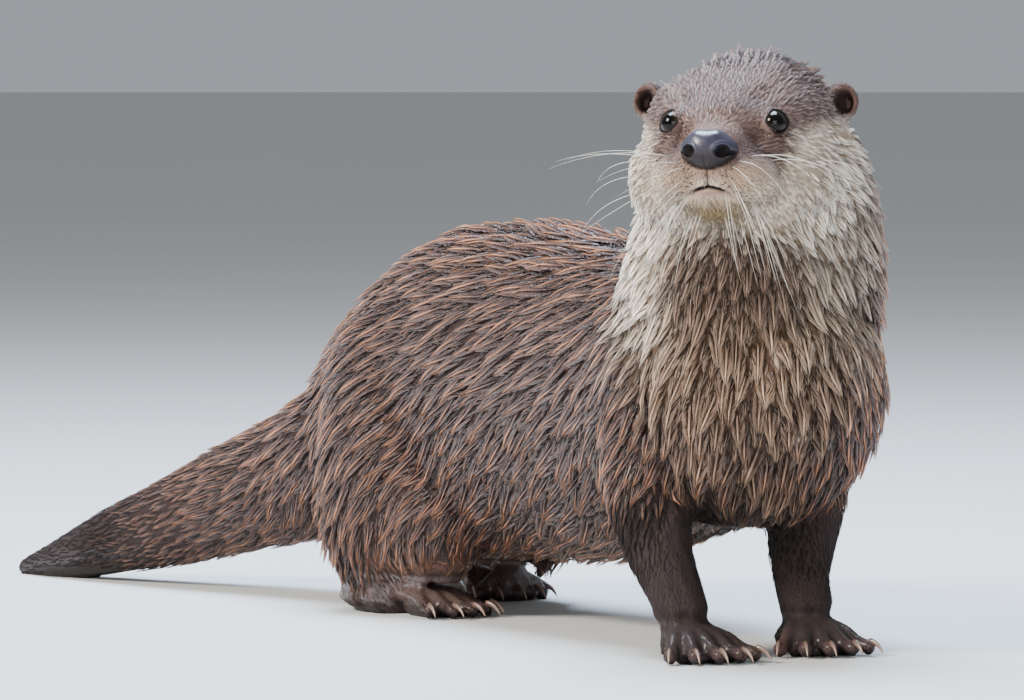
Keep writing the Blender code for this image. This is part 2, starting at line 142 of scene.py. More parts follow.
def vec(*numbers: float) -> np.ndarray:
    """A few numbers as a row, such as a place or a direction."""
    return np.array(numbers)


def unit(rows: np.ndarray) -> np.ndarray:
    """Rows of vectors brought to length 1."""
    return rows / np.maximum(np.linalg.norm(rows, axis=-1, keepdims=True), 1e-12)


def corners(node: str) -> tuple[np.ndarray, np.ndarray]:
    """The low and the high corner of a solid's box."""
    low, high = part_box(node)
    return np.array(low), np.array(high)


def box_point(node: str, share: tuple[float, ...]) -> np.ndarray:
    """The point at a share, from 0 to 1, of each side of a solid's box."""
    low, high = corners(node)
    return low + (high - low) * np.array(share)


def link(name: str, data: ID) -> Object:
    """Puts a mesh, a lamp or a camera in the scene, as an object at the origin.

    Args:
        name: The object's name.
        data: The mesh, lamp or camera.

    Returns:
        The object.
    """
    thing = bpy.data.objects.new(name, data)
    bpy.context.scene.collection.objects.link(thing)
    return thing


def smooth(mesh: Mesh) -> None:
    """Shades every face of a mesh smoothly."""
    mesh.polygons.foreach_set("use_smooth", [True] * len(mesh.polygons))


def new_mesh_object(name: str, places: np.ndarray, faces: list, material: Material | None = None) -> Object:
    """Makes a smooth-shaded mesh object at the origin.

    Args:
        name: The piece's name.
        places: Its points.
        faces: Its faces, as lists of point numbers.
        material: Its finish.

    Returns:
        The object, linked to the scene.
    """
    mesh = bpy.data.meshes.new(name)
    mesh.from_pydata([tuple(p) for p in places], [], [tuple(f) for f in faces])
    smooth(mesh)
    if material:
        mesh.materials.append(material)
    return link(name, mesh)


def pull(items: bpy_prop_collection, name: str, wide: int = 1, kind: type = float) -> np.ndarray:
    """Reads one property of every item.

    Args:
        items: The points, edges, faces or other items.
        name: The property.
        wide: How many numbers it has.
        kind: Their type.

    Returns:
        Plain numbers, or rows if there is more than one number an item.
    """
    values = np.empty(len(items) * wide, kind)
    items.foreach_get(name, values)
    return values.reshape(-1, wide) if wide > 1 else values


def mesh_arrays(mesh: Mesh) -> tuple[np.ndarray, np.ndarray]:
    """The points of a mesh, and the point numbers of its triangles."""
    mesh.calc_loop_triangles()
    return pull(mesh.vertices, "co", 3), pull(mesh.loop_triangles, "vertices", 3, np.int32)


def point_normals(places: np.ndarray, triangles: np.ndarray) -> np.ndarray:
    """Outward normal at each point, weighted by the area of the faces round it.

    Args:
        places: The points.
        triangles: Three point numbers a triangle.

    Returns:
        A unit vector a point.
    """
    a, b, c = (places[triangles[:, k]] for k in range(3))
    face = np.cross(b - a, c - a)
    total = np.zeros_like(places)
    for k in range(3):
        for axis in range(3):
            total[:, axis] += np.bincount(triangles[:, k], face[:, axis], len(places))
    return unit(total)


def evaluated(thing: Object) -> Mesh:
    """The plain mesh of an object with its modifiers worked out and every attribute kept."""
    graph = bpy.context.evaluated_depsgraph_get()
    return bpy.data.meshes.new_from_object(thing.evaluated_get(graph), preserve_all_data_layers=True, depsgraph=graph)


def store(mesh: Mesh, name: str, values: np.ndarray) -> None:
    """Keeps a number or a vector on each point of a mesh.

    Args:
        mesh: The mesh that keeps it.
        name: The attribute's name.
        values: One number, whole or not, or one row of three a point.
    """
    vector, whole = values.ndim == 2, values.dtype.kind == "i"
    layer = mesh.attributes.new(name, "FLOAT_VECTOR" if vector else "INT" if whole else "FLOAT", "POINT")
    values = np.ascontiguousarray(values, np.int32 if whole else np.float32)
    layer.data.foreach_set("vector" if vector else "value", values.ravel())


def fetch(mesh: Mesh, name: str) -> np.ndarray:
    """The numbers kept on each point of a mesh under a name."""
    return pull(mesh.attributes[name].data, "value", 1, np.float32)


@contextmanager
def opened(mesh: Mesh) -> Iterator[bmesh.types.BMesh]:
    """Opens a mesh for editing and writes the changes back.

    Args:
        mesh: The mesh, changed in place.

    Yields:
        The mesh as it is edited.
    """
    work = bmesh.new()
    work.from_mesh(mesh)
    yield work
    work.to_mesh(mesh)
    work.free()


def outward(mesh: Mesh) -> None:
    """Turns a closed mesh's faces outwards."""
    with opened(mesh) as work:
        bmesh.ops.recalc_face_normals(work, faces=work.faces)


def run_tree(thing: Object, tree: NodeTree, inputs: dict) -> Mesh:
    """Runs a node tree on an object and leaves the result as the object's plain mesh.

    Args:
        thing: The object.
        tree: The node tree.
        inputs: A value for each named input but the geometry.

    Returns:
        The plain mesh.
    """
    work = thing.modifiers.new("work", "NODES")
    work.node_group = tree
    for item in tree.interface.items_tree:
        if item.name in inputs and item.in_out == "INPUT":
            work[item.identifier] = inputs[item.name]
    mesh = evaluated(thing)
    thing.modifiers.clear()
    thing.data = mesh
    mesh.name = thing.name
    return mesh


class Weave:
    """The links between neighbouring points of a mesh, for smoothing what lies on them."""

    def __init__(self, mesh: Mesh) -> None:
        """Reads the links once.

        Args:
            mesh: The mesh whose edges are the links.
        """
        ends = pull(mesh.edges, "vertices", 2, np.int32)
        self.here = np.concatenate([ends[:, 0], ends[:, 1]])
        self.there = np.concatenate([ends[:, 1], ends[:, 0]])
        self.count = len(mesh.vertices)
        self.links = np.maximum(np.bincount(self.here, minlength=self.count), 1)

    def average(self, values: np.ndarray) -> np.ndarray:
        """The mean of each point's neighbours, for rows of three or for plain numbers.

        Args:
            values: A number or a row a point.

        Returns:
            The means.
        """
        if values.ndim == 1:
            return np.bincount(self.here, values[self.there], self.count) / self.links
        return np.stack([self.average(values[:, k]) for k in range(values.shape[1])], axis=1)

    def relax(
        self, values: np.ndarray, rounds: int, weight: np.ndarray | float = 1.0, shrink: bool = False
    ) -> np.ndarray:
        """Smooths values over the mesh, without shrinking the shape unless asked.

        Args:
            values: What to smooth.
            rounds: How many times.
            weight: How much each point takes part.
            shrink: True for plain averaging.

        Returns:
            The smoothed values.
        """
        if isinstance(weight, np.ndarray) and values.ndim == 2:
            weight = weight[:, None]
        for _ in range(rounds):
            values = values + (self.average(values) - values) * 0.55 * weight
            if not shrink:
                values = values - (self.average(values) - values) * 0.57 * weight
        return values


# --- the head's own axes


class HeadAxes:
    """The head's own frame: X forward along the muzzle, Y to its left, Z up, in centimetres from the skull's centre."""

    EYE = (3.05, 2.62, 2.12)
    """Where the left eye's solid is, in centimetres."""
    NOSE_DROP = 32.4
    """How far the nose lies below the line ahead of the eyes, in degrees."""
    TURN = 3.3
    """How far the face turns to its right, in degrees."""

    def __init__(self) -> None:
        """Finds the frame from the boxes of the eyes and the nose."""
        left, right, nose = (box_point(name, CENTRE) for name in ("eye_left", "eye_right", "nose"))
        self.side = unit(left - right)
        middle = (left + right) / 2
        toward = nose - middle
        toward = unit(toward - self.side * toward.dot(self.side))
        above = np.cross(toward, self.side)
        drop = math.radians(self.NOSE_DROP)
        self.ahead = math.cos(drop) * toward + math.sin(drop) * above
        self.up = -math.sin(drop) * toward + math.cos(drop) * above
        self.centre = middle - (self.ahead * self.EYE[0] + self.up * self.EYE[2]) * CM

    def sway(self, rows: np.ndarray, share: float) -> np.ndarray:
        """Turns the face a little to its right, more towards the nose and not at all at the neck.

        Args:
            rows: Places in the head's frame, in centimetres.
            share: 1 to turn and -1 to turn back.

        Returns:
            The turned places.
        """
        x, y, z = rows[..., 0], rows[..., 1], rows[..., 2]
        angle = math.radians(self.TURN) * share * ease(-1.5, 3.2, x) * ease(-7.5, -4.5, z)
        return np.stack([x * np.cos(angle) + y * np.sin(angle), y * np.cos(angle) - x * np.sin(angle), z], axis=-1)

    def turn(self, rows: np.ndarray) -> np.ndarray:
        """Turns directions in the head's frame into directions in the model."""
        rows = np.asarray(rows, float)
        return rows[..., :1] * self.ahead + rows[..., 1:2] * self.side + rows[..., 2:3] * self.up

    def measure(self, places: np.ndarray) -> np.ndarray:
        """Reads places in the model, in metres, as they lie in the head's frame before the face is turned."""
        rows = (places - self.centre) / CM
        return np.stack([rows @ self.ahead, rows @ self.side, rows @ self.up], axis=-1)

    def out(self, rows: np.ndarray) -> np.ndarray:
        """Turns places in the head's frame, in centimetres, into places in the model, in metres."""
        return self.centre + self.turn(self.sway(np.asarray(rows, float), 1.0)) * CM

    def into(self, places: np.ndarray) -> np.ndarray:
        """Turns places in the model, in metres, into places in the head's frame, in centimetres."""
        return self.sway(self.measure(places), -1.0)


# --- the lie of the coat


class Form(Enum):
    """How much a lock is worked: hairs along its ridge, hairs that run in from each side, and rings on each hair."""

    LOCK = (2, 13, 1)
    TUFT = (1, 4, 1)
    WISP = (1, 1, 1)


@dataclass(frozen=True)
class Nap:
    """How the hair grows in one place, in millimetres."""

    length: float
    width: float
    depth: float
    spacing: float
    lift: float = 0.0

    def row(self) -> tuple[float, ...]:
        """The sizes as a row of numbers, in metres."""
        return (self.length * MM, self.width * MM, self.depth * MM, self.spacing * MM, self.lift * MM)


class Growth(Enum):
    """The kinds of hair over the body."""

    FLANK = Nap(42.0, 11.5, 4.0, 10.5, 1.2)
    HAUNCH = Nap(34.0, 10.5, 3.8, 9.6, 1.5)
    SHOULDER = Nap(24.0, 8.5, 3.2, 7.6, 1.5)
    BELLY = Nap(26.0, 9.0, 3.0, 8.6, 2.2)
    SKIRT = Nap(25.0, 7.5, 2.8, 6.6, 3.0)
    CHEST = Nap(26.0, 11.5, 4.4, 8.6, 2.2)
    NECK = Nap(20.0, 8.5, 3.6, 6.6, 2.2)
    UPPER_LEG = Nap(12.0, 2.8, 1.7, 3.4, 0.8)
    LOWER_LEG = Nap(4.6, 0.55, 0.28, 1.55, 0.1)
    HEEL = Nap(17.0, 5.0, 2.0, 5.0, 1.6)
    PAW = Nap(3.4, 0.4, 0.2, 1.8, 0.0)
    TAIL_ROOT = Nap(26.0, 7.0, 2.8, 7.0, 0.8)
    TAIL = Nap(15.0, 2.6, 1.4, 3.4, 0.2)
    TAIL_END = Nap(8.5, 1.1, 0.5, 2.3, 0.1)
    MUZZLE = Nap(3.0, 0.7, 0.45, 1.2, 0.0)
    FACE = Nap(7.0, 1.7, 1.0, 1.9, 0.3)
    CROWN = Nap(13.5, 3.8, 1.8, 3.7, 3.0)
    CHEEK = Nap(16.0, 6.4, 2.4, 5.2, 2.0)
    EAR = Nap(3.2, 0.8, 0.35, 1.6, 0.3)


@dataclass(frozen=True)
class Guide:
    """Places on the body where the lie and the kind of the hair are known.

    Each row is a place as shares of a node's box and then a direction, all in hundredths.
    """

    node: str
    growth: Growth
    both: bool
    rows: tuple[tuple[int, ...], ...]


BODY_GUIDES = (
    Guide("trunk", Growth.FLANK, False, (
        (46, 46, 97, 0, 100, -5), (46, 30, 92, 0, 100, -5), (42, 68, 98, -5, 100, -15))),
    Guide("trunk", Growth.HAUNCH, False, (
        (35, 90, 70, -10, 90, -45),)),
    Guide("trunk", Growth.HAUNCH, True, (
        (16, 75, 80, -15, 91, -39), (7, 80, 67, 5, 92, -40), (11, 89, 52, 6, 83, -56), (10, 91, 34, 5, 66, -75))),
    Guide("trunk", Growth.FLANK, True, (
        (21, 38, 85, -10, 94, -25), (9, 59, 69, -10, 95, -31), (5, 23, 68, 8, 96, -27), (7, 37, 61, 0, 97, -25),
        (6, 51, 54, -5, 96, -27), (8, 61, 36, 6, 95, -31), (9, 38, 39, 6, 96, -29), (12, 52, 29, 9, 96, -25),
        (23, 37, 20, 13, 94, -30))),
    Guide("trunk", Growth.BELLY, True, (
        (29, 56, 11, 18, 97, -18),)),
    Guide("trunk", Growth.BELLY, False, (
        (50, 45, 5, 0, 100, 0), (50, 68, 5, 0, 100, 0), (50, 25, 12, 0, 100, -20))),
    Guide("trunk", Growth.SHOULDER, True, (
        (4, 14, 74, -11, 56, -82), (3, 15, 55, -15, 35, -93))),
    Guide("trunk", Growth.CHEST, True, (
        (4, 9, 66, -24, 0, -97),)),
    Guide("trunk", Growth.CHEST, False, (
        (10, 7, 46, 0, 30, -90), (27, 3, 43, 5, 30, -90), (43, 0, 46, 10, 15, -96), (63, 2, 51, 20, 20, -85))),
    Guide("trunk", Growth.SHOULDER, False, (
        (85, 6, 50, 25, 20, -90),)),
    Guide("trunk", Growth.BELLY, False, (
        (27, 7, 30, 15, 60, -70), (60, 7, 30, 0, 60, -70))),
    Guide("hindleg_right", Growth.HAUNCH, True, (
        (31, 28, 88, 0, 90, -43), (12, 34, 58, -10, 60, -78))),
    Guide("hindleg_right", Growth.SKIRT, True, (
        (2, 54, 30, 0, 43, -90), (10, 85, 20, 0, 35, -93), (27, 21, 32, -5, 44, -86))),
    Guide("hindleg_right", Growth.HEEL, True, (
        (12, 46, 3, 5, 10, -95),)),
    Guide("foreleg_right", Growth.SHOULDER, True, (
        (6, 70, 81, 10, 80, -55), (25, 34, 77, -5, 22, -98))),
    Guide("foreleg_right", Growth.UPPER_LEG, True, (
        (15, 36, 53, -5, 10, -100),)),
    Guide("foreleg_right", Growth.LOWER_LEG, True, (
        (51, 25, 36, -5, -10, -98), (24, 12, 10, 0, -30, -95))),
    Guide("forepaw_right", Growth.PAW, True, (
        (50, 75, 90, 0, -70, -70), (50, 30, 70, 0, -100, -20))),
    Guide("hindpaw_right", Growth.PAW, True, (
        (50, 75, 90, 0, -80, -50), (50, 30, 70, 0, -100, -20), (8, 85, 60, 0, -40, -90), (50, 100, 50, 0, 30, -90),
        (2, 55, 50, 0, -60, -80))),
    Guide("neck", Growth.NECK, True, (
        (4, 57, 57, -15, 66, -74), (2, 64, 40, 0, 75, -62))),
    Guide("neck", Growth.CHEST, False, (
        (5, 43, 44, -15, 35, -93), (7, 25, 38, -10, 15, -97), (20, 9, 41, 0, 0, -100), (40, 5, 41, 8, 0, -100),
        (64, 15, 44, 30, 15, -90))),
    Guide("neck", Growth.NECK, False, (
        (78, 21, 54, 42, 25, -85),)),
    Guide("neck", Growth.CHEST, False, (
        (85, 28, 27, 20, 0, -95), (20, 12, 15, 0, 5, -100), (38, 2, 15, 8, 5, -100), (58, 2, 22, 12, 0, -100))),
    Guide("neck", Growth.NECK, False, (
        (95, 60, 45, 20, 65, -75), (55, 100, 75, 10, 80, -60), (50, 100, 40, 0, 95, -30))),
    Guide("tail_base", Growth.TAIL_ROOT, False, (
        (50, 30, 85, -17, 91, -38), (20, 40, 50, -20, 91, -38), (90, 40, 45, -20, 91, -30),
        (50, 40, 5, -17, 91, -20))),
    Guide("tail_middle", Growth.TAIL, False, (
        (50, 30, 85, -22, 93, -33), (40, 60, 10, -22, 93, -15))),
    Guide("tail_tip", Growth.TAIL_END, False, (
        (50, 50, 80, -17, 96, -24), (50, 50, 10, -17, 96, -5))),
)

HEAD_GUIDES = (
    (Growth.MUZZLE, (
        (570, 0, 130, -80, 0, 60), (530, 150, 100, -80, 40, 40))),
    (Growth.FACE, (
        (440, 0, 230, -75, 0, 65), (320, 0, 300, -80, 0, 60), (320, 140, 320, -80, 20, 60),
        (100, 0, 430, -95, 0, 35), (80, 260, 410, -95, 15, 20))),
    (Growth.CROWN, (
        (-150, 0, 500, -100, 0, -5), (-120, 300, 460, -100, 15, -5), (-500, 0, 360, -60, 0, -80))),
    (Growth.CHEEK, (
        (-450, 320, 200, -60, 10, -80),)),
    (Growth.MUZZLE, (
        (530, 190, -40, -80, 60, -25), (600, 80, -120, -20, 60, -75), (460, 240, -140, -70, 55, -45))),
    (Growth.FACE, (
        (430, 220, 90, -80, 50, 10), (320, 320, 50, -80, 50, -35))),
    (Growth.CHEEK, (
        (120, 420, -60, -75, 35, -60), (150, 360, -260, -45, 35, -80))),
    (Growth.FACE, (
        (320, 280, -230, -50, 45, -75), (530, 0, -290, -45, 0, -85), (460, 120, -300, -50, 25, -80))),
    (Growth.CHEEK, (
        (300, 0, -390, -60, 0, -80), (-100, 480, -100, -70, 15, -70), (-100, 460, 120, -80, 20, -50))),
    (Growth.FACE, (
        (100, 400, 230, -90, 35, -10),)),
    (Growth.EAR, (
        (-190, 520, 370, -50, 50, 60),)),
)
"""Kinds of hair on the head. Each row is a place in its own frame, in tenths of a millimetre, and then a direction."""


class Lie:
    """The direction and the size of the hair anywhere on the skin, blended from the guides."""

    REACH = 0.006
    """How far from a guide the others begin to count, in metres."""

    def __init__(self, head: HeadAxes) -> None:
        """Lays the guides out in the model's frame.

        Args:
            head: The head's own axes.
        """
        places, flows, sizes = [], [], []
        for guide in BODY_GUIDES:
            for x, y, z, along, back, down in np.array(guide.rows) / 100:
                known = [(guide.node, (x, y, z), (along, back, down))]
                if guide.both:
                    known.append((guide.node.replace("right", "left"), (1.0 - x, y, z), (-along, back, down)))
                for node, share, flow in known:
                    places.append(box_point(node, share))
                    flows.append(flow)
                    sizes.append(guide.growth.value.row())
        for growth, rows in HEAD_GUIDES:
            for x, y, z, ahead, aside, up in np.array(rows) / 100:
                for side in SIDES if y else SIDES[:1]:
                    places.append(head.out(vec(x, y * side, z)))
                    flows.append(tuple(head.turn(vec(ahead, aside * side, up))))
                    sizes.append(growth.value.row())
        self.places, self.flows, self.sizes = np.array(places), unit(np.array(flows)), np.array(sizes)

    def blend(self, places: np.ndarray) -> tuple[np.ndarray, np.ndarray]:
        """Blends the guides by distance.

        Args:
            places: Where to read the lie.

        Returns:
            The direction and the row of sizes at each place.
        """
        flow = np.zeros((len(places), 3))
        size = np.zeros((len(places), self.sizes.shape[1]))
        total = np.zeros(len(places))
        for place, way, row in zip(self.places, self.flows, self.sizes):
            gap = ((places - place) ** 2).sum(axis=1)
            weight = 1.0 / (gap + self.REACH**2) ** 2
            flow += weight[:, None] * way
            size += weight[:, None] * row
            total += weight
        return unit(flow), size / total[:, None]


# --- the markings


@dataclass
class Markings:
    """Where the coat is pale, dark, grey or yellowish, with painted shade under the chin and low on the chest, painted
    light and shade on the sides of the throat and a painted sheen on the hind feet. The skin and the coat both read it.
    """

    head: HeadAxes

    def spread(self, places: np.ndarray) -> dict[str, np.ndarray]:
        """Works out every marking.

        Args:
            places: Points on or near the skin.

        Returns:
            A number from 0 to 1 a point, for each name.
        """
        rows = self.head.into(places)
        x, y, z = rows.T
        side = np.abs(y)
        near_head = self.near_head(places)
        line = np.interp(x, (-5.0, -3.6, -2.2, 0.0, 1.5, 2.4, 3.2, 3.9, 4.5, 5.2, 6.0),
                         (-1.5, 0.8, 2.7, 2.5, 2.0, 1.6, 1.0, -0.1, -0.95, -1.25, -1.30))
        cheek = ease(0.45, -0.45, z - line) * ease(-5.4, -3.4, x)
        cheek *= ease(0.4, 1.4, side) * ease(6.4, 5.4, x) + ease(-0.5, -1.4, z) * (1.0 - ease(0.4, 1.4, side))
        patch = near_head * blot((x - 4.9) / 1.3, (side - 1.70) / 1.05, z / 1.05)
        edge = blot((z - line - 0.28) / 0.28) * ease(2.6, 3.4, x) * ease(5.5, 4.9, x) * ease(0.9, 1.5, side)
        # The bridge between the eyes and the nose is made paler: partly its own lighter tan and partly painted light
        # from above.
        bridge = blot(x - 4.9, y / 1.3, (z - 1.5) / 0.7)
        # under is painted shade under the chin: it dims the pale and cream throat and adds to the dark.
        under = ease(-3.0, -4.2, z) * ease(-8.5, -6.0, z) * ease(4.4, 2.2, side) * ease(-6.0, -3.6, x)
        pale = np.maximum((cheek + 0.65 * bridge) * near_head, self.chest(rows))
        pale = np.clip(pale * (1.0 - 0.35 * under), 0.0, 1.0)
        cream = np.maximum(cheek * near_head * (0.35 + 0.65 * ease(4.2, 2.4, x)), self.bright_neck(rows))
        cream *= 1.0 - 0.9 * under
        gold = blot((x - 4.9) / 1.1, y / 1.5, (z + 3.0) / 0.75) * near_head
        legs = self.legs(places)
        # foot makes the hind-foot tops wet and also lightens them towards grey, a painted sheen of reflected sky.
        foot = self.hind_feet_wet_and_sheen(places)
        lip = blot((z + 2.04) / 0.20, y / 1.05) * ease(5.0, 5.5, x)
        nape = ease(-2.0, -5.5, x) * near_head
        # low is painted shade low on the chest between the forelegs, added to the dark.
        low = ease(-13.5, -18.5, z) * ease(-6.0, -3.6, x) * ease(8.0, 5.0, side)
        shade = near_head * (0.66 * patch + 0.40 * edge + 0.35 * gold) + 0.36 * under + 0.34 * low
        return {
            "pale": pale * (1.0 - 0.8 * patch),
            "cream": np.clip(cream * (1.0 - patch), 0.0, 1.0),
            "dark": np.clip(legs * (1.0 - 0.6 * foot) + shade + self.ears(x, side, z), 0.0, 1.0),
            "grey": np.clip(near_head * (1.0 - nape) * (1.0 - patch) + foot, 0.0, 1.0),
            "gold": gold,
            "pink": np.maximum(0.4 * self.toe_tips(places), lip),
            "wet": np.clip(legs * 0.30 * ease(0.023, 0.016, places[:, 2]) + 1.8 * foot, 0.0, 1.0),
        }

    @staticmethod
    def ears(x: np.ndarray, side: np.ndarray, z: np.ndarray) -> np.ndarray:
        """The dark ears, from places in the head's frame."""
        gap = np.sqrt(((x + 1.9) / 0.85) ** 2 + ((side - 5.1) / 1.05) ** 2 + ((z - 3.7) / 1.15) ** 2)
        return 0.36 * ease(1.35, 0.95, gap)

    def near_head(self, places: np.ndarray) -> np.ndarray:
        """How much each place belongs to the head, from 0 to 1."""
        x, y, z = self.head.into(places).T
        return ease(1.12, 0.88, np.sqrt((x / 7.6) ** 2 + (y / 6.6) ** 2 + ((z - 0.4) / 5.4) ** 2))

    @staticmethod
    def chest(rows: np.ndarray) -> np.ndarray:
        """The tan throat and chest, which narrow and fade downwards.

        Args:
            rows: Places in the head's frame.

        Returns:
            A number from 0 to 1 a place.
        """
        x, y, z = rows.T
        levels = (-22.0, -20.0, -18.0, -14.0, -11.0, -8.0, -3.0)
        half = np.interp(z, levels, (1.5, 2.2, 2.9, 4.2, 5.4, 6.6, 7.4))
        middle = np.interp(z, levels, (0.5, 0.5, 0.4, 0.6, 0.2, -0.2, 0.0))
        strength = np.interp(z, levels, (0.0, 0.10, 0.24, 0.50, 0.84, 1.0, 1.0))
        return strength * ease(1.25, 0.72, np.abs(y - middle) / half) * ease(-6.0, -3.6, x) * ease(0.5, -2.0, z)

    @staticmethod
    def bright_neck(rows: np.ndarray) -> np.ndarray:
        """The creamy sides of the throat, made wider and brighter on the otter's right by painted light, and dimmed by
        painted shade in the middle under the chin and on the otter's left.

        Args:
            rows: Places in the head's frame.

        Returns:
            A number from 0 to 1 a place.
        """
        x, y, z = rows.T
        strength = np.interp(z, (-11.0, -8.5, -6.0, -4.0), (0.0, 0.14, 0.36, 0.60))
        # Painted shade dims the middle under the chin, painted light adds cream on the otter's right side of the neck,
        # and painted shade takes some from its left.
        strength = strength * (0.12 + 0.88 * ease(1.2, 4.2, np.abs(y)))
        strength = strength + 0.55 * ease(-2.2, -4.6, y) * ease(-9.2, -6.0, z)
        strength = strength * (1.0 - 0.30 * ease(0.5, 3.0, y))
        return strength * ease(1.0, 0.80, np.abs(y) / 7.2) * ease(-6.0, -3.6, x) * ease(0.5, -2.0, z)

    def legs(self, places: np.ndarray) -> np.ndarray:
        """The dark lower legs, paws and tail.

        Args:
            places: Points on or near the skin.

        Returns:
            A number from 0 to 1 a point.
        """
        x, y, z = places.T
        dark = np.zeros(len(places))
        for leg, top, full in (("foreleg", 0.070, 0.040), ("hindleg", 0.005, -0.002)):
            for node in (f"{leg}_left", f"{leg}_right"):
                (low, high), (paw_low, _) = corners(node), corners(node.replace("leg", "paw"))
                inside = ease(0.025, 0.0, np.maximum(np.maximum(low[0] - x, x - high[0]), 0.0))
                ahead = ease(-0.02, 0.0, y - min(low[1], paw_low[1])) * ease(0.03, 0.0, y - high[1])
                dark = np.maximum(dark, inside * ahead * ease(low[2] + top, low[2] + full, z))
        start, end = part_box("tail_base")[0][1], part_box("tail_tip")[1][1]
        return np.maximum(dark, ease(start + (end - start) * 0.34, start + (end - start) * 0.72, y))

    def hind_feet_wet_and_sheen(self, places: np.ndarray) -> np.ndarray:
        """The tops of the hind feet: wet, and painted lighter and greyer as a painted sheen of reflected sky.

        Args:
            places: Points on or near the skin.

        Returns:
            A number from 0 to 1 a point.
        """
        found = np.zeros(len(places))
        for node in ("hindpaw_left", "hindpaw_right"):
            low, high = corners(node)
            outside = np.maximum(np.maximum(low - places, places - high), 0.0)[:, :2].max(axis=1)
            level = ease(0.0235, 0.0215, places[:, 2]) * ease(0.004, 0.011, places[:, 2])
            found = np.maximum(found, ease(0.004, 0.0, outside) * level)
        return 0.52 * found

    def toe_tips(self, places: np.ndarray) -> np.ndarray:
        """The pinkish ends of the toes, round the roots of the claws.

        Args:
            places: Points on or near the skin.

        Returns:
            A number from 0 to 1 a point.
        """
        near = np.full(len(places), 1.0)
        for claw in CLAWS:
            near = np.minimum(near, np.linalg.norm(places - claw_ends(claw)[0], axis=1))
        return ease(0.0080, 0.002, near)


# --- finishes


class Bench:
    """Adds and joins nodes in one tree."""

    def __init__(self, tree: NodeTree) -> None:
        """Takes the tree to work on."""
        self.tree = tree

    def feed(self, node: Node, inputs: dict) -> None:
        """Sets a node's inputs to values or joins them to output sockets.

        Args:
            node: The node.
            inputs: A value or an output socket for each input, by name or number.
        """
        for key, value in inputs.items():
            if isinstance(value, NodeSocket):
                self.tree.links.new(value, node.inputs[key])
            else:
                node.inputs[key].default_value = value

    def add(self, kind: str, inputs: dict | None = None, **settings: object) -> Node:
        """Adds one node.

        Args:
            kind: The node's type name.
            inputs: A value or an output socket for each input, by name or number.
            settings: The node's own options.

        Returns:
            The node.
        """
        node = self.tree.nodes.new(kind)
        for name, value in settings.items():
            setattr(node, name, value)
        self.feed(node, inputs or {})
        return node

    def first(self, kind: str, inputs: dict | None = None, **settings: object) -> NodeSocket:
        """The first output of a new node."""
        return self.add(kind, inputs, **settings).outputs[0]

    def maths(self, operation: str, *values: object) -> NodeSocket:
        """A Math node's result."""
        return self.first("ShaderNodeMath", dict(enumerate(values)), operation=operation)

    def times(self, *values: object) -> NodeSocket:
        """A product."""
        return self.maths("MULTIPLY", *values)

    def plus(self, *values: object) -> NodeSocket:
        """A sum."""
        return self.maths("ADD", *values)

    def less(self, *values: object) -> NodeSocket:
        """A difference."""
        return self.maths("SUBTRACT", *values)

    def mix(self, factor: object, first: object, second: object, blend: str = "MIX") -> NodeSocket:
        """Mixes two colours.

        Args:
            factor: How much of the second there is.
            first: A socket or three numbers.
            second: The same.
            blend: How the second is laid over the first.

        Returns:
            The colour.
        """
        first, second = ((*side, 1.0) if isinstance(side, tuple) else side for side in (first, second))
        inputs = {0: factor, 6: first, 7: second}
        return self.add("ShaderNodeMix", inputs, data_type="RGBA", blend_type=blend).outputs[2]

    def ramp(self, factor: NodeSocket, *stops: tuple[float, tuple[float, ...]]) -> NodeSocket:
        """A colour that runs through several others.

        Args:
            factor: Where along it to read.
            stops: Places from 0 to 1 and their colours, in order.

        Returns:
            The colour.
        """
        node = self.add("ShaderNodeValToRGB", {0: factor})
        elements = node.color_ramp.elements
        for element, (place, colour) in zip(elements, (stops[0], stops[-1])):
            element.position, element.color = place, (*colour, 1.0)
        for place, colour in stops[1:-1]:
            elements.new(place).color = (*colour, 1.0)
        return node.outputs[0]

    def number(self, name: str) -> NodeSocket:
        """A number kept on the mesh, for a material."""
        return self.add("ShaderNodeAttribute", attribute_name=name).outputs["Fac"]

    def place(self, stretch: tuple[float, float, float] | None = None) -> NodeSocket:
        """The place on the piece, stretched along each axis if asked."""
        place = self.add("ShaderNodeTexCoord").outputs["Object"]
        return self.first("ShaderNodeMapping", {"Vector": place, "Scale": stretch}) if stretch else place

    def noise(self, place: NodeSocket, scale: float, detail: float = 2.0, rough: float = 0.5) -> NodeSocket:
        """A soft random number at each place."""
        inputs = {"Vector": place, "Scale": scale, "Detail": detail, "Roughness": rough}
        return self.add("ShaderNodeTexNoise", inputs).outputs["Fac"]

    def bump(self, height: NodeSocket, strength: float, distance: float) -> NodeSocket:
        """Normals roughened by a height."""
        return self.first("ShaderNodeBump", {"Height": height, "Strength": strength, "Distance": distance})

    def coat(self, colours: NodeTree, inputs: dict) -> bpy_prop_collection:
        """The outputs of the shared colour group, fed with the markings and with other inputs."""
        marks = {name.capitalize(): self.number(name) for name in MARKED}
        return self.add("ShaderNodeGroup", inputs | marks, node_tree=colours).outputs


def new_tree(
    name: str, kind: str, inputs: dict[str, str], outputs: dict[str, str]
) -> tuple[Bench, bpy_prop_collection]:
    """Opens a node group.

    Args:
        name: The group's name.
        kind: The type of its tree.
        inputs: The kind of socket for each input's name.
        outputs: The same for the outputs.

    Returns:
        A bench on the group and the sockets that give its inputs.
    """
    tree = bpy.data.node_groups.new(name, kind)
    for way, sockets in (("INPUT", inputs), ("OUTPUT", outputs)):
        for label, socket in sockets.items():
            tree.interface.new_socket(label, in_out=way, socket_type=f"NodeSocket{socket}")
    return Bench(tree), tree.nodes.new("NodeGroupInput").outputs


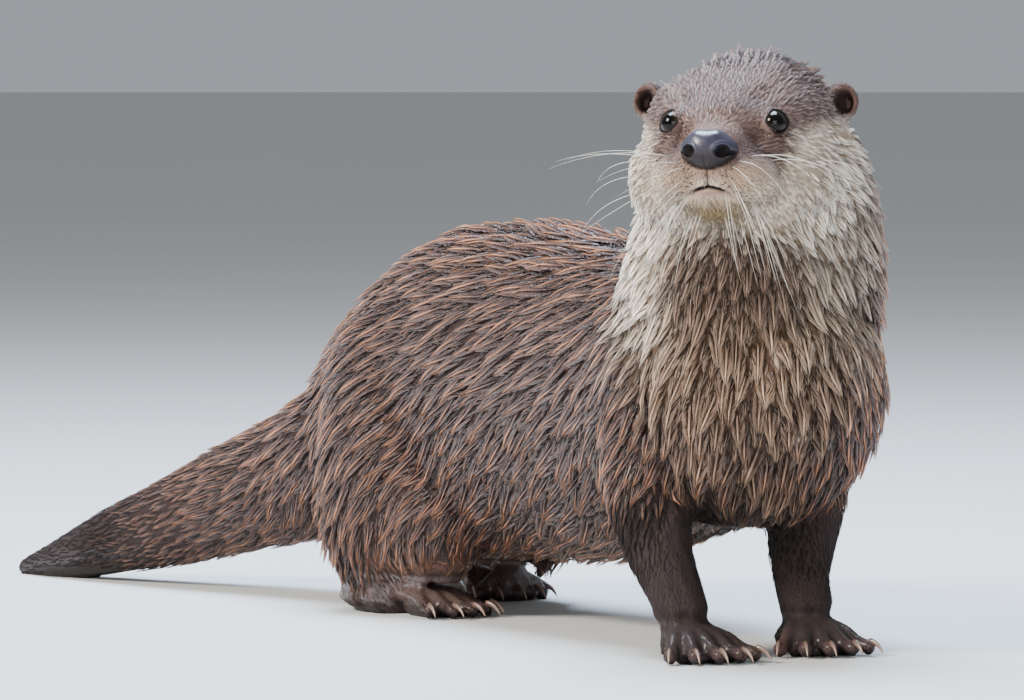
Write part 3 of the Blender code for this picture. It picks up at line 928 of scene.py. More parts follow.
@dataclass(frozen=True)
class CoatColours:
    """Root, middle and tip of a hair in each marking."""

    brown: tuple = ((0.012, 0.007, 0.006), (0.110, 0.063, 0.052), (0.580, 0.246, 0.116))
    pale: tuple = ((0.028, 0.014, 0.008), (0.228, 0.134, 0.080), (0.760, 0.530, 0.355))
    cream: tuple = ((0.200, 0.125, 0.072), (0.940, 0.800, 0.640), (1.000, 0.940, 0.840))
    dark: tuple = ((0.008, 0.006, 0.005), (0.029, 0.020, 0.019), (0.064, 0.042, 0.035))
    grey: tuple = ((0.024, 0.015, 0.013), (0.190, 0.122, 0.106), (0.540, 0.380, 0.310))
    gold: tuple = (0.420, 0.275, 0.085)
    pink: tuple = (0.200, 0.110, 0.100)

    def group(self) -> NodeTree:
        """Builds the shared colour of skin and coat.

        Returns:
            A shader group that gives the hair's colour and roughness from the markings and the place along the hair.
        """
        names = ("Along", "Tone", "Pale", "Cream", "Dark", "Grey", "Gold", "Streak")
        outputs = {"Colour": "Color", "Roughness": "Float"}
        bench, given = new_tree("Coat colour", "ShaderNodeTree", dict.fromkeys(names, "Float"), outputs)
        along = given["Along"]

        def hair(name: str) -> NodeSocket:
            """One marking's colour along the hair."""
            root, middle, tip = getattr(self, name)
            return bench.ramp(along, (0.0, root), (0.50, middle), (0.97, tip))

        colour = hair("brown")
        for name in ("grey", "pale", "cream", "dark"):
            colour = bench.mix(given[name.capitalize()], colour, hair(name))
        gold = bench.mix(1.0, self.gold, bench.mix(along, (0.3, 0.3, 0.3), (1.2, 1.2, 1.2)), "MULTIPLY")
        colour = bench.mix(bench.times(given["Gold"], 0.8), colour, gold)
        strength = bench.plus(bench.times(given["Tone"], 0.55), 0.74)
        strength = bench.times(strength, bench.plus(bench.times(given["Streak"], 0.95), 0.50))
        shade = bench.first("ShaderNodeCombineXYZ", dict.fromkeys(range(3), strength))
        colour = bench.mix(1.0, colour, shade, "MULTIPLY")
        rough = bench.plus(bench.times(given["Streak"], 0.18), 0.25)
        for name, more in (("Pale", 0.10), ("Grey", 0.16), ("Dark", 0.28)):
            rough = bench.plus(rough, bench.times(given[name], more))
        bench.add("NodeGroupOutput", {"Colour": colour, "Roughness": rough})
        return bench.tree


@dataclass(frozen=True)
class Finish:
    """One finish. The shader stays in the material and its constants on its own sockets."""

    name: str
    sockets: dict = field(default_factory=dict)

    def make(self, *given: object) -> Material:
        """Builds the material.

        Args:
            given: What the finish's look is made from.

        Returns:
            The material.
        """
        material = bpy.data.materials.new(self.name)
        material.use_nodes = True
        bench = Bench(material.node_tree)
        bench.feed(material.node_tree.nodes["Principled BSDF"], self.sockets | self.look(bench, *given))
        return material

    def look(self, bench: Bench, *given: object) -> dict[str, NodeSocket]:
        """What each of the shader's sockets is fed. Every finish has its own."""
        raise NotImplementedError


class WetHair(Finish):
    """Hair in wet, pointed locks: dark at the root, bright along the ridge and at the tip."""

    def look(self, bench: Bench, colours: NodeTree) -> dict[str, NodeSocket]:
        """Colours each hair from its root to its tip.

        Args:
            bench: The material's nodes.
            colours: The shared colour group.

        Returns:
            What the shader's sockets are fed.
        """
        along, tone = bench.number("along"), bench.number("tone")
        across = bench.times(bench.number("across"), 30.0)
        spot = bench.first("ShaderNodeCombineXYZ", {0: across, 1: bench.times(along, 1.6), 2: bench.times(tone, 37.0)})
        noise = bench.noise(spot, 2.2)
        fine = bench.first("ShaderNodeMapRange", {0: noise, 1: 0.32, 2: 0.68})
        streak = bench.plus(bench.times(fine, 0.75), bench.times(bench.number("strand"), 0.35))
        shown = bench.times(bench.number("ridge"), bench.plus(bench.times(along, 0.50), 0.08))
        shown = bench.plus(bench.times(along, 0.52), shown)
        shown = bench.maths("MAXIMUM", shown, bench.number("short"))
        fur = bench.coat(colours, {"Along": shown, "Tone": tone, "Streak": streak})
        return {
            "Base Color": fur["Colour"],
            "Roughness": fur["Roughness"],
            "Coat Weight": bench.less(0.85, bench.times(bench.number("dark"), 0.78)),
            "Normal": bench.bump(noise, 0.6, 0.0005),
        }


class Hide(Finish):
    """The skin with its short flat fur, in the coat's markings, with bare pink toe ends."""

    def look(self, bench: Bench, colours: NodeTree, pink: tuple) -> dict[str, NodeSocket]:
        """Draws short hairs along the lie, whether it is steep or level.

        Args:
            bench: The material's nodes.
            colours: The shared colour group.
            pink: The colour of the toe ends.

        Returns:
            What the shader's sockets are fed.
        """
        upright, level = (bench.noise(bench.place(stretch), 1.0, 3.0, 0.6)
                          for stretch in ((1300.0, 1300.0, 170.0), (1300.0, 170.0, 1300.0)))
        steep, wet = bench.number("upright"), bench.number("wet")
        streak = bench.plus(bench.times(upright, steep), bench.times(level, bench.less(1.0, steep)))
        soft = bench.noise(bench.place(), 60.0, 3.0)
        fur = bench.coat(colours, {"Along": bench.number("along"), "Streak": streak, "Tone": soft})
        fleshy = bench.times(bench.number("pink"), bench.plus(0.35, soft))
        colour = bench.mix(fleshy, fur["Colour"], pink)
        return {
            "Base Color": bench.mix(bench.number("bare"), colour, (0.012, 0.009, 0.009)),
            "Roughness": bench.plus(fur["Roughness"], bench.times(bench.less(1.0, wet), 0.30)),
            "Coat Weight": wet,
            "Normal": bench.bump(streak, 0.55, 0.0006),
        }


class EyeGloss(Finish):
    """A wet eye: black pupil, very dark brown iris and a darker rim."""

    def look(self, bench: Bench) -> dict[str, NodeSocket]:
        """Rings of colour from the pupil outwards.

        Args:
            bench: The material's nodes.

        Returns:
            What the shader's sockets are fed.
        """
        rings = bench.ramp(
            bench.number("polar"), (0.135, (0.002, 0.002, 0.002)), (0.165, (0.008, 0.004, 0.002)),
            (0.25, (0.014, 0.007, 0.004)), (0.29, (0.004, 0.003, 0.003)), (0.36, (0.003, 0.002, 0.002)))
        flecks = bench.mix(bench.noise(bench.place(), 900.0), (0.5, 0.5, 0.5), (1.5, 1.5, 1.5))
        return {"Base Color": bench.mix(1.0, rings, flecks, "MULTIPLY")}


class NoseLeather(Finish):
    """Slate-black pebbled leather, wet, with painted shade inside the nostrils and a painted dark reflection on its
    lower half.
    """

    def look(self, bench: Bench) -> dict[str, NodeSocket]:
        """Pebbles, with painted shade darkening the pits and a painted reflection darkening the underside, both also
        duller.

        Args:
            bench: The material's nodes.

        Returns:
            What the shader's sockets are fed.
        """
        place, pit, under = bench.place(), bench.number("pit"), bench.number("under")
        cells = bench.add("ShaderNodeTexVoronoi", {"Vector": place, "Scale": 1500.0}, feature="SMOOTH_F1")
        soft = bench.noise(place, 160.0, 4.0)
        colour = bench.mix(soft, (0.016, 0.015, 0.026), (0.044, 0.040, 0.064))
        # under paints the lower half darker brown, a painted reflection of the ground below.
        colour = bench.mix(under, colour, (0.010, 0.005, 0.005))
        dull = bench.maths("MAXIMUM", pit, bench.times(under, 0.6))
        return {
            # pit paints the nostrils and the groove nearly black, painted shade in the hollows.
            "Base Color": bench.mix(pit, colour, (0.002, 0.001, 0.001)),
            "Roughness": bench.plus(bench.times(soft, 0.25), bench.plus(0.24, bench.times(dull, 0.5))),
            "Coat Weight": bench.less(0.45, bench.times(dull, 0.45)),
            "Normal": bench.bump(cells.outputs["Distance"], 0.35, 0.0003),
        }


class Horn(Finish):
    """Claw horn: brown at the root, paler and pinker towards the tip, with fine lengthwise lines."""

    def look(self, bench: Bench) -> dict[str, NodeSocket]:
        """Grain along the claw.

        Args:
            bench: The material's nodes.

        Returns:
            What the shader's sockets are fed.
        """
        grain = bench.noise(bench.place((1600.0, 120.0, 700.0)), 1.0, 3.0)
        colour = bench.mix(bench.number("along"), (0.110, 0.062, 0.045), (0.420, 0.290, 0.230))
        return {
            "Base Color": bench.mix(bench.times(grain, 0.6), colour, (0.080, 0.045, 0.035)),
            "Roughness": bench.plus(0.25, bench.times(grain, 0.25)),
            "Normal": bench.bump(grain, 0.3, 0.0003),
        }


class WhiskerHair(Finish):
    """Stiff whiskers: dark at the root and whitish along the rest."""

    def look(self, bench: Bench) -> dict[str, NodeSocket]:
        """A dark root, then a pale hair in uneven tones.

        Args:
            bench: The material's nodes.

        Returns:
            What the shader's sockets are fed.
        """
        along = bench.number("along")
        shades = bench.ramp(along, (0.0, (0.030, 0.018, 0.014)), (0.16, (0.780, 0.720, 0.620)))
        uneven = bench.times(bench.noise(bench.place(), 120.0), along)
        return {"Base Color": bench.mix(uneven, shades, (0.6, 0.52, 0.43))}


class Floor(Finish):
    """A plain pale floor."""

    def look(self, bench: Bench) -> dict[str, NodeSocket]:
        """Two pale greys that differ a little."""
        return {"Base Color": bench.mix(bench.noise(bench.place(), 3.0), (0.60, 0.60, 0.59), (0.64, 0.64, 0.63))}


# --- the skin


class Heap:
    """Closed shapes that overlap, gathered to be melted into one."""

    def __init__(self) -> None:
        """Starts with nothing and makes the pattern of a small ball."""
        self.places: list[np.ndarray] = []
        self.faces: list[np.ndarray] = []
        self.count = 0
        pattern = bmesh.new()
        bmesh.ops.create_icosphere(pattern, subdivisions=2, radius=1.0)
        mesh = bpy.data.meshes.new("ball")
        pattern.to_mesh(mesh)
        pattern.free()
        self.ball = mesh_arrays(mesh)

    def add(self, places: np.ndarray, triangles: np.ndarray) -> None:
        """Adds one shape of points and triangles.

        Args:
            places: Its points.
            triangles: Its triangles, numbered from 0.
        """
        self.places.append(places)
        self.faces.append(triangles + self.count)
        self.count += len(places)

    def add_ball(self, centre: np.ndarray, radius: float) -> None:
        """Adds a small ball."""
        self.add(self.ball[0] * radius + centre, self.ball[1])

    def add_solid(self, node: str, growth: float, middle: np.ndarray | None = None) -> None:
        """Adds a copy of a solid.

        Args:
            node: The solid's name.
            growth: How far its surface moves outwards, in metres.
            middle: For a paw, the place in front of which the copy is pressed back and drawn in.
        """
        squeeze = 6 * MM
        mesh = frame["nodes"][node].data.copy()
        with opened(mesh) as part:
            bmesh.ops.remove_doubles(part, verts=part.verts, dist=1e-5)
            bmesh.ops.triangulate(part, faces=part.faces)
        places, triangles = mesh_arrays(mesh)
        places = places + point_normals(places, triangles) * growth
        if middle is not None:
            excess = np.maximum(middle[1] - places[:, 1], 0.0)
            places[:, 1] += excess
            places[:, 0] = middle[0] + (places[:, 0] - middle[0]) / (1.0 + excess / squeeze)
            places[:, 2] /= (1.0 + excess / squeeze) ** 0.6
        self.add(places, triangles)
        bpy.data.meshes.remove(mesh)

    def thing(self) -> Object:
        """All the shapes as one object."""
        return new_mesh_object("heap", np.concatenate(self.places), np.concatenate(self.faces).tolist())


def claw_ends(node: str) -> tuple[np.ndarray, np.ndarray]:
    """The middle of a claw's root and its tip, read from its solid.

    Args:
        node: The claw's name.

    Returns:
        The two places.
    """
    places, _ = mesh_arrays(frame["nodes"][node].data)
    tip = places[places[:, 1].argmin()]
    root = places[places[:, 1] > places[:, 1].max() - 1.5 * MM].mean(axis=0)
    return root, tip


@dataclass
class Skin:
    """One closed skin in place of all the flesh solids, inside them by the depth of the coat."""

    head: HeadAxes
    lie: Lie
    markings: Markings
    voxel: float = 1.45 * MM
    overlap: float = 0.3 * MM
    goal: int = 150000
    map_faces: int = 9000
    eye_radius: float = 7.15 * MM
    eye_place: tuple[float, float, float] = (3.06, 2.62, 1.88)
    ear_turn: float = 0.20
    places: np.ndarray = field(init=False)
    triangles: np.ndarray = field(init=False)
    normals: np.ndarray = field(init=False)
    flow: np.ndarray = field(init=False)
    sizes: np.ndarray = field(init=False)
    bare: np.ndarray = field(init=False)
    bald: np.ndarray = field(init=False)
    thing: Object = field(init=False)

    def flesh(self, heap: Heap) -> None:
        """Adds copies of the flesh solids, each grown a little so that neighbours meet.

        Args:
            heap: The shapes that the skin is made of.
        """
        for name in FLESH:
            if name not in PAWS:
                heap.add_solid(name, self.overlap)
        heap.add_solid("nose", -0.6 * MM)
        for name in ("eye_left", "eye_right"):
            heap.add_ball(box_point(name, CENTRE), 6.2 * MM)

    def add_paw(self, heap: Heap, paw: str) -> None:
        """Adds one paw: a heel, five toes with a knuckle and a full end under each claw, and low webs between them.

        Args:
            heap: The shapes that the skin is made of.
            paw: The paw's name.
        """
        leg, _ = mesh_arrays(frame["nodes"][paw.replace("paw", "leg")].data)
        ankle = leg[leg[:, 2] < leg[:, 2].min() + 6 * MM].mean(axis=0)
        hind = paw.startswith("hind")
        heap.add_solid(paw, self.overlap, ankle - vec(0.0, 4.0 * MM, 0.0))
        hem = leg[leg[:, 2] < leg[:, 2].min() + 2.0 * MM]
        for spot in hem[:: max(1, len(hem) // 60)]:
            aside = spot[:2] - ankle[:2]
            x, y = ankle[:2] + aside * max(0.0, 1.0 - 3.9 * MM / np.linalg.norm(aside))
            for drop in (0.0, 2.5):
                heap.add_ball(vec(x, y, leg[:, 2].min() - drop * MM), 3.6 * MM)
        stops = (0.0, 0.36, 0.63, 0.83, 1.0)
        heights = (14.5, 12.4, 10.8, 6.6, 4.8) if hind else (16.0, 13.4, 11.4, 6.8, 4.7)
        sizes = (10.5, 6.4, 5.0, 4.1, 4.7) if hind else (11.5, 6.6, 4.9, 4.1, 4.6)
        lines = []
        for toe in TOES:
            root, _ = claw_ends(f"claw_{paw}_{toe}")
            way = unit(vec(root[0] - ankle[0], root[1] - ankle[1], 0.0))
            end = root - way * 3.4 * MM
            lines.append(end)
            for share in np.linspace(0.0, 1.0, 30):
                size, height = np.interp(share, stops, sizes) * MM, np.interp(share, stops, heights) * MM
                x, y, _ = ankle + (end - ankle) * share
                heap.add_ball(vec(x, y, max(height, size * 0.95)), size)
        for first, second in zip(lines, lines[1:]):
            for share in np.linspace(0.30, 0.78, 12):
                for aside in (0.35, 0.5, 0.65):
                    x, y, _ = ankle + (first * (1 - aside) + second * aside - ankle) * share
                    size = np.interp(share, (0.35, 0.8), (5.6, 2.6)) * MM
                    heap.add_ball(vec(x, y, size * 0.95), size)

    def remesh(self, heap: Heap) -> Mesh:
        """Melts the gathered shapes into one even surface and keeps its outer shell.

        Args:
            heap: The shapes.

        Returns:
            The single surface.
        """
        carrier = heap.thing()
        melt = carrier.modifiers.new("melt", "REMESH")
        melt.mode, melt.voxel_size = "VOXEL", self.voxel
        fused = evaluated(carrier)
        bpy.data.objects.remove(carrier)
        return self.outer_shell(fused)

    @staticmethod
    def outer_shell(mesh: Mesh) -> Mesh:
        """Drops everything but the surface that the topmost point is on.

        Args:
            mesh: The mesh to clean.

        Returns:
            The same mesh, cleaned.
        """
        weave = Weave(mesh)
        places, _ = mesh_arrays(mesh)
        label, old = np.arange(weave.count), None
        while old is None or (label != old).any():
            old, label = label, label.copy()
            np.minimum.at(label, weave.here, old[weave.there])
            label = label[label]
        reached = label == label[places[:, 2].argmax()]
        if not reached.all():
            with opened(mesh) as work:
                work.verts.ensure_lookup_table()
                bmesh.ops.delete(work, geom=[work.verts[i] for i in np.nonzero(~reached)[0]], context="VERTS")
        return mesh

    def thin(self, mesh: Mesh) -> Mesh:
        """Lowers the number of faces under the thick coat and keeps them on the face, paws and legs.

        Args:
            mesh: The even surface.

        Returns:
            The thinned surface, in triangles.
        """
        carrier = link("thin", mesh)
        _, sizes = self.lie.blend(mesh_arrays(mesh)[0])
        group = carrier.vertex_groups.new(name="keep")
        levels = np.round(ease(0.0034, 0.0012, sizes[:, 2]) * 10).astype(int)
        for level in range(11):
            members = np.nonzero(levels == level)[0].tolist()
            if members:
                group.add(members, level / 10, "REPLACE")
        count = sum(len(face.vertices) - 2 for face in mesh.polygons)
        lower = carrier.modifiers.new("thin", "DECIMATE")
        lower.ratio = min(1.0, self.goal / count)
        lower.vertex_group, lower.invert_vertex_group, lower.vertex_group_factor = "keep", True, 1.0
        thinned = evaluated(carrier)
        bpy.data.objects.remove(carrier)
        return thinned

    @staticmethod
    def hems(places: np.ndarray) -> np.ndarray:
        """How near each place is to the seam between a leg and its paw, from 0 to 1.

        Args:
            places: Points near the skin.

        Returns:
            A number a point.
        """
        near = np.zeros(len(places))
        for paw in PAWS:
            low, high = corners(paw.replace("paw", "leg"))
            inside = ((places[:, :2] > low[:2] - 5 * MM) & (places[:, :2] < high[:2] + 5 * MM)).all(axis=1)
            near = np.maximum(near, inside * ease(17 * MM, 7 * MM, np.abs(places[:, 2] - low[2])))
        return near

    def refine(self, mesh: Mesh) -> None:
        """Splits the faces round the eyes and the mouth, where lids and lips need small steps.

        Args:
            mesh: The surface, changed in place.
        """
        eyes = [Vector(self.eye_frame(side)[0]) for side in SIDES]
        mouth = [Vector(spot) for spot in self.head.out(self.mouth_line())]

        def close(spot: Vector, reach: float, lips: float) -> bool:
            """Whether a point is near an eye or the front of the lips."""
            return any((spot - eye).length < reach for eye in eyes) or (
                (spot - mouth[3]).length < 0.04 and any((spot - lip).length < lips for lip in mouth))

        with opened(mesh) as work:
            for reach, lips in ((0.0110, 0.0040), (0.0092, 0.0024)):
                edges = [edge for edge in work.edges if close(edge.verts[0].co, reach, lips)]
                bmesh.ops.subdivide_edges(work, edges=edges, cuts=1, use_grid_fill=True)
                bmesh.ops.triangulate(work, faces=[face for face in work.faces if len(face.verts) > 3])

    @staticmethod
    def mouth_line() -> np.ndarray:
        """The line between the lips.

        Returns:
            Points from corner to corner in the head's frame, in centimetres.
        """
        y = np.linspace(-2.25, 2.25, 31)
        share = np.abs(y) / 2.25
        z = -1.80 - 0.75 * share**1.7
        x = 6.15 - 0.35 * share - 1.85 * share**2.2
        return np.stack([x, y, z], axis=1)

    def eye_frame(self, side: float) -> tuple[np.ndarray, np.ndarray, np.ndarray, np.ndarray]:
        """Where one eye is and how its opening lies.

        Args:
            side: 1 for the left eye and -1 for the right.

        Returns:
            The eye's centre, then unit vectors out of it, along the slit towards the ear, and up.
        """
        centre = self.head.out(np.array(self.eye_place) * vec(1.0, side, 1.0))
        out = unit(self.head.turn(vec(0.78, 0.58 * side, 0.20)))
        along = self.head.turn(vec(-0.58, 0.78 * side, 0.10))
        along = unit(along - out * along.dot(out))
        above = np.cross(out, along) * side
        above = above if above.dot(self.head.up) > 0 else -above
        return centre, out, along, above

    def strip(self, where: np.ndarray | slice, amount: np.ndarray) -> None:
        """Makes places at least as bare as an amount."""
        self.bare[where] = np.maximum(self.bare[where], amount)

    def shape_lids(self) -> None:
        """Wraps the skin round each eye as lids with a bare rim, and sinks it behind the eye in the opening."""
        radius = self.eye_radius
        sunk = radius - 1.3 * MM
        for side in SIDES:
            centre, out, along, above = self.eye_frame(side)
            ray = self.places - centre
            reach = np.linalg.norm(ray, axis=1)
            near = reach < 0.016
            way = ray[near] / reach[near, None]
            a, b = (np.degrees(np.arctan2(way @ axis, way @ out)) for axis in (along, above))
            share = np.sqrt((a / np.where(a > 0, 52.0, 50.0)) ** 2 + (b / np.where(b > 0, 57.0, 56.0)) ** 2)
            gap = np.where(way @ out < -0.2, 0.01, (share - 1.0) * math.radians(50.0) * radius)
            rim = radius + (0.75 - 0.20 * ease(0.9 * MM, 1.8 * MM, gap) + 0.30 * ease(1.8 * MM, 2.8 * MM, gap)) * MM
            target = sunk + (rim - sunk) * ease(-0.10 * MM, 0.35 * MM, gap)
            hold = ease(5.2 * MM, 2.0 * MM, gap)[:, None]
            moved = self.places[near] * (1 - hold) + (centre + way * target[:, None]) * hold - centre
            least = np.where(gap > 0.35 * MM, radius + 0.6 * MM, 0.0)
            self.places[near] = centre + unit(moved) * np.maximum(np.linalg.norm(moved, axis=1), least)[:, None]
            self.strip(near, ease(1.9 * MM, 1.1 * MM, gap))

    def shape_face(self) -> None:
        """Cuts the line of the mouth and the groove under the nose, and raises the lips."""
        inside = self.head.into(self.places)
        near = np.nonzero(np.linalg.norm(inside - vec(5.2, 0.0, -1.5), axis=1) < 4.0)[0]
        spots, line = inside[near], self.mouth_line()
        gap = np.full(len(near), 9.0)
        for start, end in zip(line, line[1:]):
            step = end - start
            share = np.clip(((spots - start) @ step) / step.dot(step), 0, 1)
            gap = np.minimum(gap, np.linalg.norm(spots - start - share[:, None] * step, axis=1))
        x, y, z = spots.T
        closing = ease(2.5, 1.9, np.abs(y))
        groove, lip = blot(gap / 0.105) * closing, blot((gap - 0.20) / 0.10) * closing
        stem = blot(y / 0.075) * ease(-1.85, -1.6, z) * ease(-0.5, -0.8, z) * ease(5.4, 5.9, x)
        depth = (2.6 * groove + 1.1 * stem - 0.35 * lip) * MM
        self.places[near] -= self.normals[near] * depth[:, None]
        self.strip(near, np.clip(groove * 1.3 + stem * 0.9, 0, 1))
        self.bald = np.zeros(len(self.places))
        above = z > line[len(line) // 2, 2]
        self.bald[near] = ease(0.34, 0.24, gap + 0.10 * above) * ease(1.6, 1.2, np.abs(y))

    def shape_ears(self) -> None:
        """Hollows each ear from the front into a cup with a thick rim."""
        rows = self.head.into(self.places)
        facing = self.normals @ self.head.ahead
        cos, sin = math.cos(self.ear_turn), math.sin(self.ear_turn)
        for side in SIDES:
            x, y, z = (rows - vec(-1.9, 5.08 * side, 3.66)).T
            front, across = cos * x + sin * side * y, cos * side * y - sin * x
            share = np.sqrt(((across - 0.02) / 0.66) ** 2 + ((z + 0.02) / 0.74) ** 2)
            near = (front > -0.35) & (facing > -0.2) & (share < 1.5)
            share = share[near]
            push = 0.10 * blot((share - 1.12) / 0.20) - 0.72 * ease(1.0, 0.45, share)
            self.places[near] += push[:, None] * CM * self.head.ahead
            self.strip(near, ease(0.98, 0.70, share) * 0.8)

    def mark_bare(self) -> None:
        """Marks the skin under the nose pad, the soles and the claw roots, where no tufts grow."""
        everywhere = slice(None)
        spots = self.head.into(self.places)
        share = (spots - np.array(NOSE)) / vec(1.35, 1.45, 1.05)
        self.strip(everywhere, ease(1.08, 0.96, np.linalg.norm(share, axis=1)) * (spots[:, 0] > 4.5))
        soles = ease(-0.3, -0.7, self.normals[:, 2]) * ease(0.012, 0.006, self.places[:, 2])
        self.strip(everywhere, soles * 0.9)
        for claw in CLAWS:
            gap = np.linalg.norm(self.places - claw_ends(claw)[0], axis=1)
            self.strip(everywhere, 0.5 * ease(0.006, 0.003, gap))

    def melt(self) -> Mesh:
        """Melts the flesh into one surface, smooths it, turns the face and thins what the coat hides.

        Returns:
            The surface, before it is sunk under the coat.
        """
        heap = Heap()
        self.flesh(heap)
        for paw in PAWS:
            self.add_paw(heap, paw)
        mesh = self.remesh(heap)
        weave = Weave(mesh)
        places, _ = mesh_arrays(mesh)
        _, sizes = self.lie.blend(places)
        rounds = np.maximum(ease(0.0008, 0.0030, sizes[:, 2]), self.hems(places))
        places = weave.relax(places, 4)
        places = weave.relax(places, 22, rounds)
        places = weave.relax(places, 34, self.hems(places))
        rows = self.head.measure(places)
        near = np.linalg.norm(rows, axis=1) < 12.0
        places[near] = self.head.out(rows[near])
        mesh.vertices.foreach_set("co", places.ravel())
        mesh = self.thin(mesh)
        self.refine(mesh)
        return mesh

    def comb(self, weave: Weave, flow: np.ndarray) -> np.ndarray:
        """Smooths the lie of the hair over the skin.

        Args:
            weave: The links between the skin's points.
            flow: The lie at each point.

        Returns:
            The smoothed lie, along the skin.
        """
        flow = flow - self.normals * (flow * self.normals).sum(axis=1, keepdims=True)
        for _ in range(12):
            flow = weave.relax(unit(flow), 1, shrink=True)
            flow = flow - self.normals * (flow * self.normals).sum(axis=1, keepdims=True)
        return unit(flow)

    def build(self, finish: Material) -> Object:
        """Makes the skin and keeps the lie, sizes and markings on it.

        Args:
            finish: The skin's material.

        Returns:
            The skin.
        """
        mesh = self.melt()
        weave = Weave(mesh)
        places, triangles = mesh_arrays(mesh)
        normals = unit(weave.relax(point_normals(places, triangles), 2, shrink=True))
        flow, sizes = self.lie.blend(places)
        depth = weave.relax(sizes[:, 2], 10, shrink=True)
        low = places[:, 2] < 0.9 * MM
        self.places = places - normals * (depth + self.overlap)[:, None]
        self.places[low, 2] = places[low, 2]
        self.bare = np.zeros(len(places))
        self.shape_lids()
        self.normals = unit(weave.relax(point_normals(self.places, triangles), 1, shrink=True))
        self.shape_face()
        self.shape_ears()
        self.places[:, 2] = np.maximum(self.places[:, 2], 0.0)
        self.normals = point_normals(self.places, triangles)
        self.mark_bare()
        mesh.vertices.foreach_set("co", self.places.ravel())
        self.normals = unit(weave.relax(self.normals, 6, shrink=True))
        self.triangles, self.sizes, self.flow = triangles, sizes, self.comb(weave, flow)
        marks = self.markings.spread(self.places)
        marks["bare"] = self.bare * ease(0.9, 0.3, marks["pink"])
        # Under a thick coat the skin takes the hair's dark root colour: partly the roots' own colour and partly painted
        # shade in the gaps between locks.
        marks["along"] = 0.10 + 0.42 * ease(0.0016, 0.0006, sizes[:, 2])
        marks["upright"] = ease(0.3, 0.7, np.abs(self.flow[:, 2]))
        for name, values in marks.items():
            store(mesh, name, values)
        self.bare = np.maximum(self.bare, self.bald)
        smooth(mesh)
        mesh.materials.clear()
        mesh.materials.append(finish)
        mesh.name = "skin"
        self.thing = link("skin", mesh)
        log.info("skin: %d triangles", len(triangles))
        return self.thing

    def unwrap(self) -> tuple[BVHTree, np.ndarray, np.ndarray]:
        """Unwraps a light copy of the skin, for the places of the tufts on the coat's map.

        Returns:
            A search tree of the copy's faces, the faces' corner places, and the corners' places on the map.
        """
        carrier = link("pattern", self.thing.data.copy())
        lower = carrier.modifiers.new("thin", "DECIMATE")
        lower.ratio = self.map_faces / len(self.triangles)
        light = evaluated(carrier)
        carrier.modifiers.clear()
        carrier.data = light
        bpy.ops.object.select_all(action="DESELECT")
        carrier.select_set(True)
        bpy.context.view_layer.objects.active = carrier
        bpy.ops.object.mode_set(mode="EDIT")
        bpy.ops.mesh.select_all(action="SELECT")
        bpy.ops.uv.smart_project(angle_limit=math.radians(66), island_margin=0.004)
        bpy.ops.object.mode_set(mode="OBJECT")
        places, triangles = mesh_arrays(light)
        flats = pull(light.uv_layers[0].data, "uv", 2)[pull(light.loop_triangles, "loops", 3, np.int32)]
        tree = BVHTree.FromPolygons(places.tolist(), triangles.tolist())
        bpy.data.objects.remove(carrier)
        return tree, places[triangles], flats


# --- the coat


